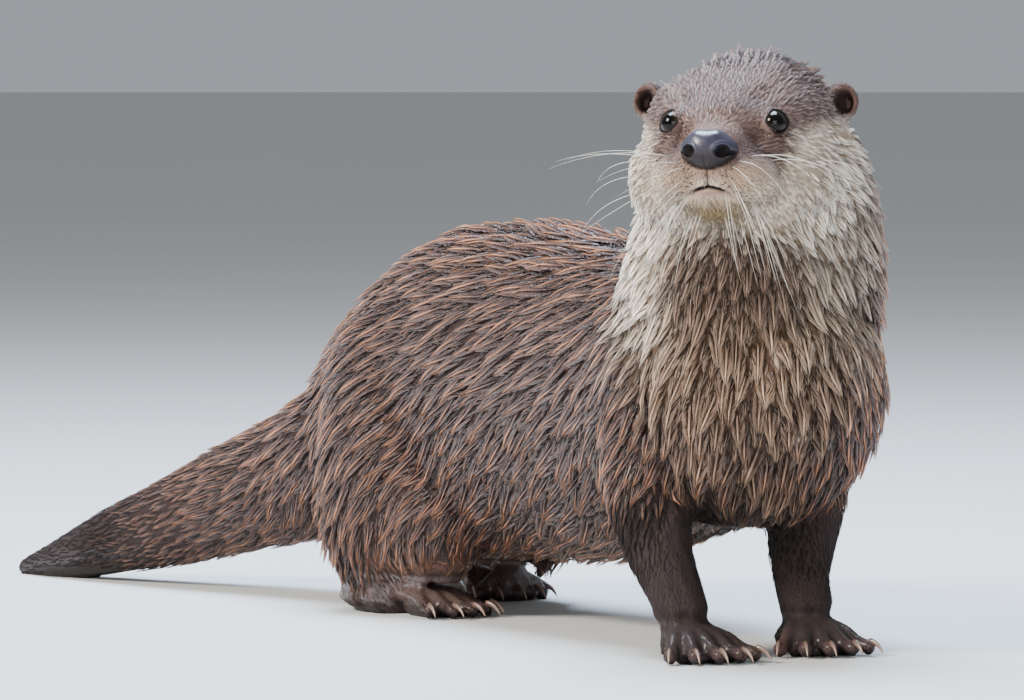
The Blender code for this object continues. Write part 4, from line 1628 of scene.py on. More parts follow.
@dataclass(frozen=True)
class Bundle:
    """A wet lock: hairs along a ridge from root to tip, and shorter hairs that run in to it from both sides.

    It is one unit wide and one unit long, lies along Y, and its height is kept as "rise".
    """

    ridges: int
    sides: int
    rings: int

    @staticmethod
    def spine(t: float) -> float:
        """The height of the ridge at a place along the lock."""
        return -0.22 + 0.98 * t**0.85 + 0.26 * math.sin(math.pi * t) ** 0.8

    def hairs(self, rng: np.random.Generator) -> list[tuple[float, ...]]:
        """Chooses the lock's hairs.

        Args:
            rng: The source of chance.

        Returns:
            A row a hair: where it starts and ends along, across and in height, its half width, how much it is ridge,
            and its rings.
        """
        rows = []
        for number in range(self.ridges):
            aside = (number - (self.ridges - 1) / 2) * 0.05
            end = 1.0 - 0.07 * number
            half = 0.040 if self.ridges > 1 else 0.09
            rows.append((0.0, end, aside, aside * 0.2, -0.1, 0.0, half, 1.0, self.rings + 1))
        for number in range(self.sides):
            for side in SIDES:
                start = 0.56 * (number + rng.uniform(0.1, 0.9)) / self.sides
                end = min(start + rng.uniform(0.36, 0.56), 0.97)
                out = side * 0.5 * (1 - start) ** 0.7 * rng.uniform(0.8, 1.15)
                home = side * rng.uniform(0.0, 0.07)
                half = rng.uniform(0.52, 0.75) / (self.sides + 2)
                rows.append((start, end, out, home, -0.12, -0.08, half, 0.0, self.rings))
        return rows

    def build(self, name: str, seed: int) -> Object:
        """Makes one lock.

        Args:
            name: The object's name.
            seed: What makes it differ from its fellows.

        Returns:
            The lock, not linked to the scene.
        """
        rng = np.random.default_rng(seed)
        places, faces, along, across, strand, ridge = [], [], [], [], [], []
        bend = rng.uniform(-0.2, 0.2)
        for start, end, out, home, low, high, half, crest, rings in self.hairs(rng):
            shade, first = rng.uniform(0.0, 1.0), len(places)
            base, top = self.spine(start) * (0.5 if crest else 0.8) + low, self.spine(end) + high
            bow = rng.uniform(-0.05, 0.05)

            def spot(share: float, aside: float, lift: float) -> None:
                """Adds one point of the hair.

                Args:
                    share: Where along the hair, from 0 to 1.
                    aside: How far to one side of its middle.
                    lift: How far above its middle.
                """
                t = start + (end - start) * share
                x = home + (out - home) * (1 - share) ** 1.15 + bend * t * t + aside
                x += bow * share * (1 - share) * 4 * (1 - crest)
                height = self.spine(t) if crest else base + (top - base) * share**0.9
                places.append((x, t, height + lift))
                along.append(t)
                across.append(min(max(out + aside, -0.6), 0.6))
                strand.append(shade)
                ridge.append(max(crest, 0.75 * share**2))

            spot(0.0, 0.0, -0.03)
            for level in ((0.42,), (0.30, 0.70), (0.20, 0.50, 0.80))[rings - 1]:
                wide = half * min(1.0, 2.0 * (1.0 - level) + 0.1)
                spot(level, -wide, -0.05)
                spot(level, 0.0, 0.08 + 0.05 * crest)
                spot(level, wide, -0.05)
            spot(1.0, 0.0, 0.0)
            last = len(places) - 1
            for ring in range(rings):
                base_ring = first + 1 + ring * 3
                for k in range(3):
                    here, there = base_ring + k, base_ring + (k + 1) % 3
                    if ring == 0:
                        faces.append((first, here, there))
                    if ring == rings - 1:
                        faces.append((last, there, here))
                    else:
                        faces += [(here, here + 3, there + 3), (here, there + 3, there)]
        mesh = bpy.data.meshes.new(name)
        mesh.from_pydata(places, [], faces)
        smooth(mesh)
        outward(mesh)
        rise = [place[2] for place in places]
        kept = {"along": along, "across": across, "strand": strand, "ridge": ridge, "rise": rise}
        for label, values in kept.items():
            store(mesh, label, np.array(values))
        return bpy.data.objects.new(name, mesh)


@dataclass
class Coat:
    """Wet locks over the skin, in several pieces, split so that each stays under a set number of faces."""

    skin: Skin
    seed: int = 11
    variants: int = 5
    limit: int = 190000
    patch: float = 0.003
    closer: float = 0.54
    least: float = 2.0 * MM
    under: tuple[float, ...] = (0.52, 0.56, 0.50, 1.0, 0.0)
    turn: float = 0.22
    tries: float = 5.5
    too_bare: float = 0.45
    lock_sizes: tuple[float, float] = (3.1 * MM, 0.0105)
    tuft_length: float = 0.0052
    names: tuple[str, ...] = (
        "coat_head", "coat_neck", "coat_chest", "coat_flank_right", "coat_flank_left", "coat_haunches", "coat_legs",
        "coat_tail")

    def tree(self) -> NodeTree:
        """Builds the node tree that sets a bundle on every root and lays it over the skin.

        Returns:
            The tree.
        """
        inputs = {"Roots": "Geometry", "Skin": "Object", "Bundles": "Collection", "Turn": "Float", "Seed": "Int",
                  "Material": "Material"}
        bench, given = new_tree("Lay locks on skin", "GeometryNodeTree", inputs, {"Coat": "Geometry"})

        def kept(name: str, kind: str = "FLOAT") -> NodeSocket:
            """What the roots, the locks or the skin keep under a name."""
            return bench.first("GeometryNodeInputNamedAttribute", {"Name": name}, data_type=kind)

        def vector(operation: str, inputs: dict) -> NodeSocket:
            """A Vector Math node's result."""
            return bench.first("ShaderNodeVectorMath", inputs, operation=operation)

        bundles = bench.first("GeometryNodeCollectionInfo", {
            "Collection": given["Bundles"], "Separate Children": True, "Reset Children": True})
        away = kept("normal_way", "FLOAT_VECTOR")
        upright = bench.first("FunctionNodeAlignRotationToVector", {"Vector": away}, axis="Z")
        laid = bench.first("FunctionNodeAlignRotationToVector", {
            "Rotation": upright, "Vector": kept("lie", "FLOAT_VECTOR")}, axis="Y", pivot_axis="Z")
        chance = bench.add("FunctionNodeRandomValue", {
            2: bench.times(given["Turn"], -1.0), 3: given["Turn"], 8: given["Seed"]}, data_type="FLOAT")
        spin = bench.first("ShaderNodeCombineXYZ", {2: chance.outputs[1]})
        spin = bench.first("FunctionNodeEulerToRotation", {0: spin})
        turned = bench.first("FunctionNodeRotateRotation", {0: laid, 1: spin}, rotation_space="LOCAL")
        placed = bench.first("GeometryNodeInstanceOnPoints", {
            "Points": given["Roots"], "Instance": bundles, "Pick Instance": True,
            "Instance Index": kept("bundle", "INT"), "Rotation": turned, "Scale": kept("size", "FLOAT_VECTOR")})
        real = bench.first("GeometryNodeRealizeInstances", {0: placed})
        skin = bench.add("GeometryNodeObjectInfo", {"Object": given["Skin"]}).outputs["Geometry"]
        here = bench.first("GeometryNodeInputPosition")
        foot = bench.first("GeometryNodeProximity", {0: skin, "Sample Position": here}, target_element="FACES")
        way = bench.first("GeometryNodeSampleNearestSurface", {
            "Mesh": skin, "Value": kept("soft_normal", "FLOAT_VECTOR"), "Sample Position": here},
            data_type="FLOAT_VECTOR")
        along = kept("along")
        square = bench.times(along, along)
        height = bench.plus(bench.times(kept("rise"), kept("depth")), bench.times(square, kept("lift")))
        draped = vector("ADD", {0: foot, 1: vector("SCALE", {0: way, "Scale": height})})
        loose = vector("ADD", {0: here, 1: vector("SCALE", {0: away, "Scale": height})})
        share = bench.times(kept("free"), square)
        final = bench.add("ShaderNodeMix", {0: share, 4: draped, 5: loose}, data_type="VECTOR").outputs[1]
        moved = bench.first("GeometryNodeSetPosition", {"Geometry": real, "Position": final})
        dressed = bench.first("GeometryNodeSetMaterial", {"Geometry": moved, "Material": given["Material"]})
        bench.add("NodeGroupOutput", {"Coat": dressed})
        return bench.tree

    def bundles(self) -> tuple[Collection, np.ndarray]:
        """Makes several locks of each form.

        Returns:
            The locks, and how many faces a lock of each form has.
        """
        found = bpy.data.collections.new("bundles")
        faces = []
        for kind, form in enumerate(Form):
            for number in range(self.variants):
                bundle = Bundle(*form.value).build(f"bundle_{kind}{number}", 100 * kind + number + 1)
                found.objects.link(bundle)
            faces.append(len(bundle.data.polygons))
        return found, np.array(faces)

    def roots(self, closer: float, least: float, seed: int) -> dict[str, np.ndarray]:
        """Scatters roots over the skin, as close together as the spacing there says.

        Args:
            closer: What the spacing is multiplied by.
            least: The least depth of coat where roots are set, in metres.
            seed: What makes the layer differ from others.

        Returns:
            The roots' places and what the skin keeps there.
        """
        skin = self.skin
        rng = np.random.default_rng(seed)
        a, b, c = skin.places[skin.triangles].transpose(1, 0, 2)
        area = np.linalg.norm(np.cross(b - a, c - a), axis=1) / 2
        spacing = skin.sizes[:, 3][skin.triangles].mean(axis=1) * closer
        wanted = area / spacing**2 * (skin.sizes[:, 2][skin.triangles].mean(axis=1) > least)
        count = int(wanted.sum() * self.tries)
        chosen = rng.choice(len(area), count, p=wanted / wanted.sum())
        first, second = rng.random((2, count))
        swap = first + second > 1
        first[swap], second[swap] = 1 - first[swap], 1 - second[swap]
        share = np.stack([1 - first - second, first, second], axis=1)

        def read(values: np.ndarray) -> np.ndarray:
            """What the skin keeps at the chosen places."""
            picked = values[skin.triangles[chosen]]
            return (picked * (share[:, :, None] if values.ndim == 2 else share)).sum(axis=1)

        places, gap, bare = read(skin.places), read(skin.sizes[:, 3]) * closer, read(skin.bare)
        tree = KDTree(count)
        for index, place in enumerate(places.tolist()):
            tree.insert(place, index)
        tree.balance()
        free = bare < self.too_bare
        kept = []
        for index in range(count):
            if free[index]:
                kept.append(index)
                for _, other, _ in tree.find_range(places[index], gap[index]):
                    free[other] = False
        kept = np.array(kept)
        log.info("coat: %d roots from %d candidates", len(kept), count)
        return {"place": places[kept], "normal": unit(read(skin.normals)[kept]),
                "flow": unit(read(skin.flow)[kept]), "size": read(skin.sizes)[kept]}

    def regions(self, found: dict[str, np.ndarray]) -> np.ndarray:
        """Sorts the roots into pieces.

        Args:
            found: The roots.

        Returns:
            The number of each root's piece in names.
        """
        places = found["place"]
        x, y, z = places.T
        depth = found["size"][:, 2]
        head = self.skin.markings.near_head(places)
        neck_low, neck_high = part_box("neck")
        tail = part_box("tail_base")[0][1] + 0.02
        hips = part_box("hindleg_right")[0][1]
        region = np.where(x < box_point("trunk", CENTRE)[0], 3, 4)
        region = np.where(y > hips, 5, region)
        region = np.where((y < neck_low[1] + 0.075) & (z < neck_high[2]), 2, region)
        region = np.where((y < neck_high[1]) & (z > neck_low[2] + 0.055) & (y >= neck_low[1] + 0.045), 1, region)
        region = np.where(head > 0.5, 0, region)
        region = np.where((depth < 0.0024) & (z < 0.13) & (y <= tail), 6, region)
        return np.where(y > tail, 7, region)

    def dress(self, finish: Material) -> list[Object]:
        """Makes every coat piece.

        Args:
            finish: The hair's material.

        Returns:
            The pieces.
        """
        skin = self.skin
        rng = np.random.default_rng(self.seed + 1)
        over, under = self.roots(1.0, 0.0, self.seed), self.roots(self.closer, self.least, self.seed + 7)
        found = {key: np.concatenate([over[key], under[key]]) for key in over}
        marks = skin.markings.spread(found["place"])
        count = len(found["place"])
        lower = np.arange(count) >= len(over["place"])
        length, width, depth, _, lift = (found["size"] * np.where(lower[:, None], self.under, 1.0)).T
        wide, long = width * rng.uniform(0.8, 1.25, count), length * rng.uniform(0.78, 1.2, count)
        size = np.stack([wide, long, np.zeros(count)], axis=1)
        lift = lift * rng.uniform(0.2, 1.5, count) ** 1.4
        broad, long_enough = self.lock_sizes
        worked = (width > broad) & (length > long_enough) & ~lower
        kinds = np.where(worked, 0, np.where(length > self.tuft_length, 1, 2))
        free = 0.75 * ease(0.0012, 0.0030, found["size"][:, 4]) * ~lower
        bundles, weights = self.bundles()
        bundle = kinds * self.variants + rng.integers(0, self.variants, count)
        # The lower layer gets a darker tone, painted shade in the gaps between the top locks.
        tone = rng.uniform(0.0, 1.0, count) * np.where(lower, 0.4, 1.0) - 0.55 * lower
        for name in ("pale", "dark"):
            uneven = rng.uniform(-0.5, 0.5, count) * 2.2 * marks[name] * (1 - marks[name])
            marks[name] = np.clip(marks[name] + uneven, 0, 1)
        flat_u, flat_v = self.map_places(found["place"])
        kept = {"normal_way": found["normal"], "lie": found["flow"], "size": size, "depth": depth, "lift": lift,
                "free": free, "short": 0.40 * ease(0.0013, 0.0007, depth), "tone": tone, "flat_u": flat_u,
                "flat_v": flat_v, **{mark: marks[mark] for mark in MARKED}, "bundle": bundle}
        store(skin.thing.data, "soft_normal", skin.normals)
        tree = self.tree()
        region = self.regions(found)
        faces = weights[kinds]
        pieces = []
        for number, name in enumerate(self.names):
            members = np.nonzero(region == number)[0]
            if not len(members):
                continue
            members = members[np.argsort(found["place"][members, 1], kind="stable")]
            parts = int(math.ceil(faces[members].sum() / self.limit))
            share = np.floor(np.cumsum(faces[members]) / (faces[members].sum() + 1) * parts).astype(int)
            for part in range(parts):
                chosen = members[share == part]
                title = name if parts == 1 else f"{name}_{part + 1}"
                base = bpy.data.meshes.new(title)
                base.from_pydata(found["place"][chosen].tolist(), [], [])
                for label, values in kept.items():
                    store(base, label, values[chosen])
                pieces.append(self.lay(title, base, tree, bundles, finish, number))
        for thing in list(bundles.objects):
            bpy.data.objects.remove(thing)
        bpy.data.collections.remove(bundles)
        return pieces

    def lay(self, name: str, base: Mesh, tree: NodeTree, bundles: Collection, finish: Material, number: int) -> Object:
        """Runs the tree on one set of roots and keeps its result as a plain mesh.

        Args:
            name: The piece's name.
            base: The roots.
            tree: The node tree.
            bundles: The bundles to set.
            finish: The hair's material.
            number: The piece's number, for its seed.

        Returns:
            The piece.
        """
        piece = link(name, base)
        mesh = run_tree(piece, tree, {
            "Skin": self.skin.thing, "Bundles": bundles, "Turn": self.turn, "Seed": 5 + number, "Material": finish})
        points, _ = mesh_arrays(mesh)
        points[:, 2] = np.maximum(points[:, 2], 0.1 * MM)
        mesh.vertices.foreach_set("co", points.ravel())
        u = fetch(mesh, "flat_u") + fetch(mesh, "across") * self.patch
        v = fetch(mesh, "flat_v") + (fetch(mesh, "along") - 0.5) * self.patch
        layer = mesh.uv_layers.new(name="OFBake")
        spots = np.clip(np.stack([u, v], axis=1)[pull(mesh.loops, "vertex_index", 1, np.int32)], 0.0, 1.0)
        layer.data.foreach_set("uv", spots.astype(np.float32).ravel())
        for label in ("rise", "depth", "lift", "free", "flat_u", "flat_v", "size", "lie", "normal_way", "bundle"):
            if label in mesh.attributes:
                mesh.attributes.remove(mesh.attributes[label])
        log.info("%s: %d triangles", name, len(mesh.polygons))
        return piece

    def map_places(self, places: np.ndarray) -> tuple[np.ndarray, np.ndarray]:
        """Finds each root on the unwrapped skin.

        Args:
            places: The roots.

        Returns:
            Their two coordinates on the map.
        """
        tree, triangles, flats = self.skin.unwrap()
        u, v = np.empty(len(places)), np.empty(len(places))
        for index, place in enumerate(places):
            foot, _, face, _ = tree.find_nearest(place)
            a, b, c = triangles[face]
            ab, ac, ap = b - a, c - a, np.array(foot) - a
            d00, d01, d11, d20, d21 = ab @ ab, ab @ ac, ac @ ac, ap @ ab, ap @ ac
            below = d00 * d11 - d01 * d01 or 1e-12
            second, third = (d11 * d20 - d01 * d21) / below, (d00 * d21 - d01 * d20) / below
            u[index], v[index] = vec(1 - second - third, second, third) @ flats[face]
        return u, v


# --- eyes, nose, claws and whiskers


def ball(rings: int, wide: int) -> tuple[np.ndarray, list[tuple[int, ...]]]:
    """A ball of rings between two poles.

    Args:
        rings: Steps from pole to pole.
        wide: Points in a ring.

    Returns:
        Unit vectors, from the pole at X 1 to the pole at X -1, and the faces between them.
    """
    rows = [(1.0, 0.0, 0.0)]
    for ring in range(1, rings):
        angle = math.pi * ring / rings
        rows += [(math.cos(angle), math.sin(angle) * math.cos(t), math.sin(angle) * math.sin(t))
                 for t in np.linspace(0, 2 * math.pi, wide, endpoint=False)]
    rows.append((-1.0, 0.0, 0.0))
    last = len(rows) - 1
    faces = [(0, 1 + s, 1 + (s + 1) % wide) for s in range(wide)]
    for base in range(1, last - wide, wide):
        faces += [(base + s, base + wide + s, base + wide + (s + 1) % wide, base + (s + 1) % wide) for s in range(wide)]
    return np.array(rows), faces + [(last, last - wide + (s + 1) % wide, last - wide + s) for s in range(wide)]


@dataclass
class Eye:
    """One eye: a ball with a raised, clear-looking front."""

    skin: Skin
    side: float
    rings: int = 40
    segments: int = 56
    bulge: float = 0.45 * MM

    def build(self, finish: Material) -> Object:
        """Makes the eye.

        Args:
            finish: The eye's material.

        Returns:
            The eye.
        """
        node = "eye_left" if self.side > 0 else "eye_right"
        centre, _, along, _ = self.skin.eye_frame(self.side)
        gaze = unit(self.skin.head.turn(vec(0.90, 0.38 * self.side, 0.10)))
        along = unit(along - gaze * along.dot(gaze))
        rows, faces = ball(self.rings, self.segments)
        angle = np.arccos(rows[:, 0])
        reach = self.skin.eye_radius + self.bulge * np.exp(-((angle / 0.62) ** 4))
        places = centre + reach[:, None] * (rows @ np.stack([gaze, along, np.cross(gaze, along)]))
        eye = new_mesh_object(f"glass_{node}", places, faces, finish)
        outward(eye.data)
        store(eye.data, "polar", angle / math.pi)
        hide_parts(node)
        return eye


@dataclass
class NosePad:
    """The bare nose: broad above, narrow below, with a comma-shaped nostril on each side."""

    head: HeadAxes
    half: tuple[float, float, float] = (1.02, 1.50, 1.05)
    rings: int = 72
    segments: int = 96

    def build(self, finish: Material) -> Object:
        """Makes the nose.

        Args:
            finish: The nose's material.

        Returns:
            The nose.
        """
        rows, faces = ball(self.rings, self.segments)
        x, y, z = rows.T
        high = np.sign(z) * np.abs(z) ** 0.85
        span = np.where(z > 0, 1.0 - 0.30 * np.abs(z) ** 1.8, 1.0 - 0.66 * np.abs(z) ** 2.0)
        side = np.sign(y) * np.abs(y) ** 0.80 * span
        front = np.sign(x) * np.abs(x) ** 0.72
        front = front - 0.30 * np.clip(-z, 0, 1) ** 2 * (x > 0) - 0.10 * np.clip(z, 0, 1) ** 2 * (x > 0)
        half = np.array(self.half)
        rows = np.stack([front * half[0], side * half[1], high * half[2]], axis=1)
        aside = np.abs(rows[:, 1])
        rows[:, 0] -= 0.16 * aside**2 * (x > -0.2)
        rows[:, 2] += 0.10 * blot((aside - 0.60) / 0.32) * ease(0.3, 0.6, z)
        front_face = ease(0.05, 0.35, x)
        gap_y, gap_z = aside - 0.88, rows[:, 2] + 0.10
        turned_y = gap_y * math.cos(0.5) + gap_z * math.sin(0.5)
        turned_z = -gap_y * math.sin(0.5) + gap_z * math.cos(0.5)
        near = np.sqrt((turned_y / 0.35) ** 2 + (turned_z / 0.31) ** 2)
        comma = np.sqrt(((aside - 1.24) / 0.30) ** 2 + ((rows[:, 2] + 0.16) / 0.12) ** 2)
        pit = np.maximum(ease(1.12, 0.62, near), 0.55 * ease(1.2, 0.5, comma)) * front_face
        rim = blot((near - 1.35) / 0.30) * front_face
        cleft = blot(aside / 0.06) * ease(0.1, -0.7, rows[:, 2]) * front_face
        rows[:, 0] += 0.05 * rim - 0.95 * pit - 0.10 * cleft
        nose = new_mesh_object("nose_pad", self.head.out(rows + np.array(NOSE)), faces, finish)
        outward(nose.data)
        # pit, with part of the cleft, carries the painted shade of the nostrils and the groove.
        store(nose.data, "pit", np.clip(pit * 1.9 - 0.1 + 0.4 * cleft, 0, 1))
        # under marks the lower half for a painted dark reflection.
        store(nose.data, "under", ease(0.15, -0.45, rows[:, 2]))
        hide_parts("nose")
        return nose


@dataclass
class Claw:
    """One claw: a curved horn that tapers from the toe to a point, over its solid."""

    node: str
    thick: float = 1.6 * MM
    rings: int = 12
    sides: int = 12

    def build(self, finish: Material) -> Object:
        """Makes the claw.

        Args:
            finish: The claw's material.

        Returns:
            The claw.
        """
        root, tip = claw_ends(self.node)
        way = unit(vec(tip[0] - root[0], tip[1] - root[1], 0.0))
        root = root - way * 2.4 * MM + vec(0.0, 0.0, 1.0 * MM)
        tip = tip - way * 1.6 * MM
        tip[2] = max(tip[2] - 1.8 * MM, 0.5 * MM)
        bow = root + (tip - root) * 0.66 + vec(0.0, 0.0, 4.0 * MM)
        side = vec(-way[1], way[0], 0.0)
        places, along = [], []
        for ring in range(self.rings):
            t = ring / self.rings
            spot = root * (1 - t) ** 2 + 2 * bow * t * (1 - t) + tip * t * t
            run = unit(2 * (bow - root) * (1 - t) + 2 * (tip - bow) * t)
            above = np.cross(side, run)
            above = above if above[2] > 0 else -above
            size = self.thick * (1 - t) ** 0.62
            for step in range(self.sides):
                turn = 2 * math.pi * step / self.sides
                places.append(spot + size * (side * math.cos(turn) * 0.82 + above * math.sin(turn) * 1.12))
                along.append(t)
        places += [root - way * 0.3 * MM, tip]
        along += [0.0, 1.0]
        wide, last = self.sides, self.rings * self.sides
        ring = [(s, (s + 1) % wide) for s in range(wide)]
        faces = [(last, there, here) for here, there in ring]
        for base in range(0, last - wide, wide):
            faces += [(base + here, base + there, base + wide + there, base + wide + here) for here, there in ring]
        faces += [(last - wide + here, last - wide + there, last + 1) for here, there in ring]
        claw = new_mesh_object(f"horn_{self.node}", np.array(places), faces, finish)
        outward(claw.data)
        store(claw.data, "along", np.array(along))
        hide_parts(self.node)
        return claw


@dataclass
class Whiskers:
    """The whiskers of the lips, brows and cheeks."""

    skin: Skin
    seed: int = 3
    thickness: float = 0.15 * MM
    sides: int = 5
    stations: int = 15

    SHORT = (
        (4, (4.9, 0.6, -3.0), (-0.35, 0.3, 0.0), (0.2, 0.3, -0.9), (-0.5, 0.2, -1.0), 2.4, 4.2),
        (3, (3.1, 2.2, 3.15), (-0.3, 0.25, 0.0), (0.2, 0.35, 0.9), (-0.7, 0.6, 0.35), 1.5, 2.6),
        (3, (1.7, 4.1, -0.1), (-0.5, 0.1, -0.5), (0.1, 0.9, -0.1), (-0.8, 0.4, -0.6), 2.6, 4.4),
    )
    """Chin, brow and cheek: how many, the first root, the step to the next, both directions, the range of lengths."""
    DOT = 0.10
    """The length of the dots in which the whiskers of the lips stand."""
    BROW = 3.0
    """How high the roots on the brows are at least."""

    def lines(self) -> list[tuple[tuple, tuple, tuple, float]]:
        """Each whisker in the head's frame, in centimetres.

        Returns:
            Its root, its first direction, its last direction and its length.
        """
        rng = np.random.default_rng(self.seed)
        found = []
        for side in SIDES:
            for row in range(4):
                for place in range(5 + (row % 2)):
                    share = place / 5.0
                    down = -0.78 - 0.28 * row - 0.15 * share
                    root = (5.75 - 1.55 * share - 0.12 * row, side * (1.05 + 1.45 * share), down)
                    down = -0.40 - 0.20 * row + rng.uniform(-0.1, 0.1)
                    first = (0.35 - 0.5 * share, side * (0.75 + 0.35 * share), down)
                    if side > 0:
                        last = (-0.45 + rng.uniform(-0.15, 0.15), 0.30 + 0.25 * share - 0.05 * row, -1.0 - 0.15 * row)
                    else:
                        last = (-0.50 + rng.uniform(-0.15, 0.2), 0.08 * row - 0.75, -0.35 - 0.30 * row + 0.25 * share)
                    length = rng.uniform(5.0, 8.2) * (0.75 + 0.25 * share) * (1.0 - 0.07 * row)
                    found.append((root, first, last, length))
            mirror = vec(1.0, side, 1.0)
            for count, root, step, first, last, least, most in self.SHORT:
                for place in range(count):
                    spot = (np.array(root) + place * np.array(step)) * mirror
                    found.append((spot, first * mirror, last * mirror, rng.uniform(least, most)))
            for row in range(5):
                for place in range(7):
                    share = (place + 0.5 * (row % 2)) / 6.0
                    root = (5.9 - 1.3 * share, side * (0.75 + 1.75 * share), -0.62 - 0.22 * row - 0.16 * share)
                    found.append((root, (0.6, side * 0.8, -0.2), (0.3, side * 0.8, -0.5), self.DOT))
        return found

    def tree(self) -> NodeTree:
        """Builds the node tree that turns lines into tapered round hairs.

        Returns:
            The tree.
        """
        inputs = {"Lines": "Geometry", "Sides": "Int", "Radius": "Float", "Material": "Material"}
        bench, given = new_tree("Whisker hairs", "GeometryNodeTree", inputs, {"Hairs": "Geometry"})
        curves = bench.first("GeometryNodeMeshToCurve", {0: given["Lines"]})
        circle = {"Resolution": given["Sides"], "Radius": given["Radius"]}
        ring = bench.first("GeometryNodeCurvePrimitiveCircle", circle)
        taper = bench.first("GeometryNodeInputNamedAttribute", {"Name": "taper"}, data_type="FLOAT")
        hairs = bench.first("GeometryNodeCurveToMesh", {
            "Curve": curves, "Profile Curve": ring, "Scale": taper, "Fill Caps": True})
        real = bench.first("GeometryNodeRealizeInstances", {0: hairs})
        dressed = bench.first("GeometryNodeSetMaterial", {"Geometry": real, "Material": given["Material"]})
        bench.add("NodeGroupOutput", {"Hairs": dressed})
        return bench.tree

    def build(self, finish: Material) -> Object:
        """Makes all the whiskers as one piece.

        Args:
            finish: The whiskers' material.

        Returns:
            The piece.
        """
        head = self.skin.head
        surface = BVHTree.FromPolygons(self.skin.places.tolist(), self.skin.triangles.tolist())
        low, high = (np.array(corner) for corner in (CAD_LOW, CAD_HIGH))
        room = (high - low) * 0.03 + 0.0095
        places, edges, taper, along = [], [], [], []
        for root, first, last, length in self.lines():
            foot, normal, _, _ = surface.find_nearest(head.out(np.array(root)))
            foot, normal = np.array(foot), np.array(normal)
            start, end = unit(head.turn(np.array(first))), unit(head.turn(np.array(last)))
            start = unit(start + normal * 0.8)
            dot = length <= self.DOT
            stout = 4.2 if dot else 0.6 if root[2] > self.BROW else 1.0
            spot = foot - normal * (0.3 if dot else 1.0) * MM
            base = len(places)
            for station in range(self.stations):
                share = station / (self.stations - 1)
                places.append(np.clip(spot, low - room, high + room))
                along.append(0.0 if dot else share)
                taper.append(stout * ((1.0 - share) ** 0.7 * 0.92 + 0.08 + 0.6 * math.exp(-((share / 0.05) ** 2))))
                if station:
                    edges.append((base + station - 1, base + station))
                way = unit(start * (1 - share**0.8) + end * share**0.8)
                spot = spot + way * length * CM / (self.stations - 1)
        mesh = bpy.data.meshes.new("whiskers")
        mesh.from_pydata([tuple(p) for p in places], edges, [])
        store(mesh, "taper", np.array(taper))
        store(mesh, "along", np.array(along))
        piece = link("whiskers", mesh)
        made = run_tree(piece, self.tree(), {"Sides": self.sides, "Radius": self.thickness, "Material": finish})
        smooth(made)
        outward(made)
        return piece


# --- the studio


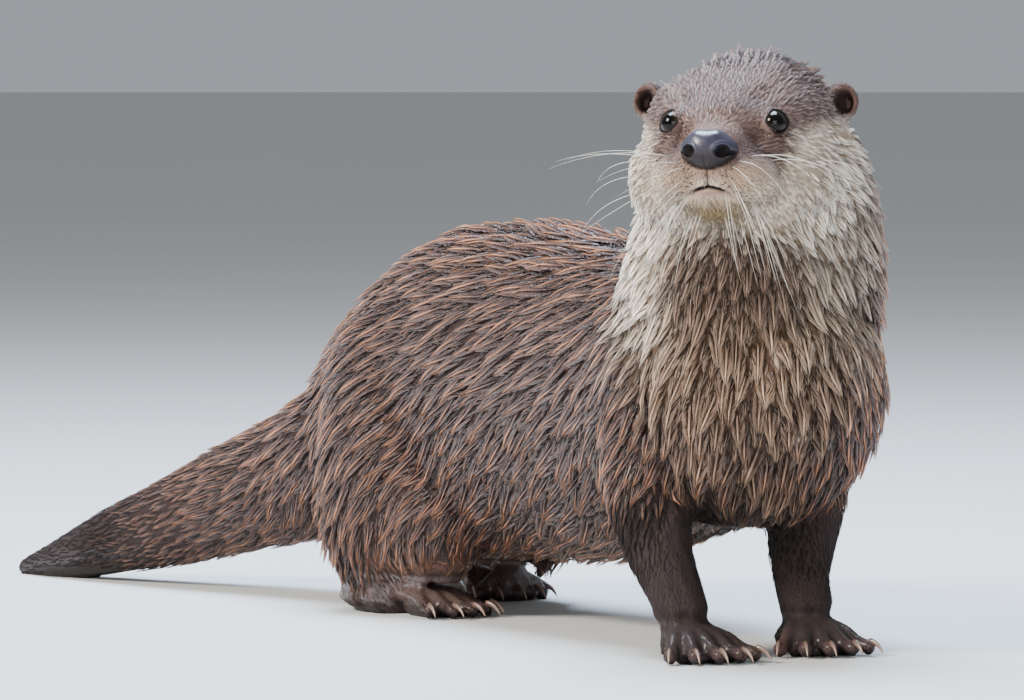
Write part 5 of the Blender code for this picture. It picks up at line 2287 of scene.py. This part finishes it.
@dataclass
class Studio:
    """A pale floor, soft light from the upper left, and the camera."""

    target: tuple[float, float, float] = (-14.183, -34.449, 16.20)
    azimuth: float = -26.0
    elevation: float = 2.3
    distance: float = 4.0
    scale: float = 19.6
    width: int = 1024
    sensor: float = 36.0
    floor_radius: float = 40.0
    floor_sides: int = 96

    @staticmethod
    def aim(thing: Object, place: Vector, way: Vector) -> None:
        """Puts a lamp or the camera in its place and points it a way.

        Args:
            thing: The lamp or camera.
            place: Where it stands.
            way: Where it looks.
        """
        thing.location = place
        thing.rotation_mode = "QUATERNION"
        thing.rotation_quaternion = way.to_track_quat("-Z", "Y")

    def build(self, finish: Material) -> None:
        """Makes the floor, the lights, the sky and the camera.

        Args:
            finish: The floor's material.
        """
        places = [(0.0, 0.0, 0.0)] + [(self.floor_radius * math.cos(t), self.floor_radius * math.sin(t), 0.0)
                                      for t in np.linspace(0, 2 * math.pi, self.floor_sides, endpoint=False)]
        faces = [(0, 1 + k, 1 + (k + 1) % self.floor_sides) for k in range(self.floor_sides)]
        floor = new_mesh_object("floor", np.array(places), faces, finish)
        floor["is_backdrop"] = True
        world = bpy.data.worlds.new("studio")
        bpy.context.scene.world = world
        world.use_nodes = True
        sky = world.node_tree.nodes["Background"]
        sky.inputs["Color"].default_value = (0.86, 0.92, 1.0, 1.0)
        sky.inputs["Strength"].default_value = 0.42
        for name, place, size, power, colour in (
            ("key", (-3.3, -0.3, 2.3), 1.2, 290.0, (1.0, 0.94, 0.86)),
            ("fill", (-1.2, -3.5, 0.8), 2.0, 62.0, (1.0, 0.98, 0.95)),
            ("top", (0.2, 0.5, 2.7), 1.6, 285.0, (0.66, 0.80, 1.0)),
        ):
            lamp = bpy.data.lights.new(name, "AREA")
            lamp.size, lamp.energy, lamp.color = size, power, colour
            self.aim(link(name, lamp), Vector(place), Vector((0.0, -0.12, 0.14)) - Vector(place))
        lens = bpy.data.cameras.new("camera")
        lens.sensor_width = self.sensor
        lens.lens = self.scale * self.distance * 100 / self.width * self.sensor
        lens.clip_start, lens.clip_end = 0.05, 200.0
        a, e = math.radians(self.azimuth), math.radians(self.elevation)
        back = Vector((math.sin(a) * math.cos(e), -math.cos(a) * math.cos(e), math.sin(e)))
        camera = link("camera", lens)
        self.aim(camera, Vector(self.target) * CM + back * self.distance, -back)
        bpy.context.scene.camera = camera


def main() -> None:
    """Builds the otter piece by piece."""
    logging.basicConfig(level=logging.INFO, format="%(message)s")
    colours = CoatColours()
    group = colours.group()
    hair = WetHair("wet hair", {"Coat Roughness": 0.32, "Specular IOR Level": 0.12}).make(group)
    hide = Hide("hide", {"Coat Roughness": 0.26, "Specular IOR Level": 0.15}).make(group, colours.pink)
    gloss = EyeGloss("eye gloss", {"Roughness": 0.04, "Specular IOR Level": 0.2}).make()
    leather = NoseLeather("nose leather", {"Coat Roughness": 0.2, "Specular IOR Level": 0.3}).make()
    horn = Horn("claw horn", {"Coat Weight": 0.3, "Coat Roughness": 0.15}).make()
    wire = WhiskerHair("whisker hair", {"Roughness": 0.35}).make()
    pale = Floor("pale floor", {"Roughness": 0.85}).make()

    head = HeadAxes()
    skin = Skin(head, Lie(head), Markings(head))
    hidden = skin.build(hide)
    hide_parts(*FLESH)
    pieces = [(hidden, "fur")]
    pieces += [(piece, "fur") for piece in Coat(skin).dress(hair)]
    pieces += [(Eye(skin, side).build(gloss), "eye") for side in SIDES]
    pieces.append((NosePad(head).build(leather), "nose_skin"))
    pieces += [(Claw(claw).build(horn), "claw_horn") for claw in CLAWS]
    pieces.append((Whiskers(skin).build(wire), "fur"))
    for piece, slot in pieces:
        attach(piece, BODY)
        log.info("%s: %d points", piece.name, len(piece.data.vertices))
    Studio().build(pale)
    bpy.context.view_layer.update()


if __name__ == "__main__":
    bpy.context.view_layer.update()
    CAD_LOW, CAD_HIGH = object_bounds()
    main()
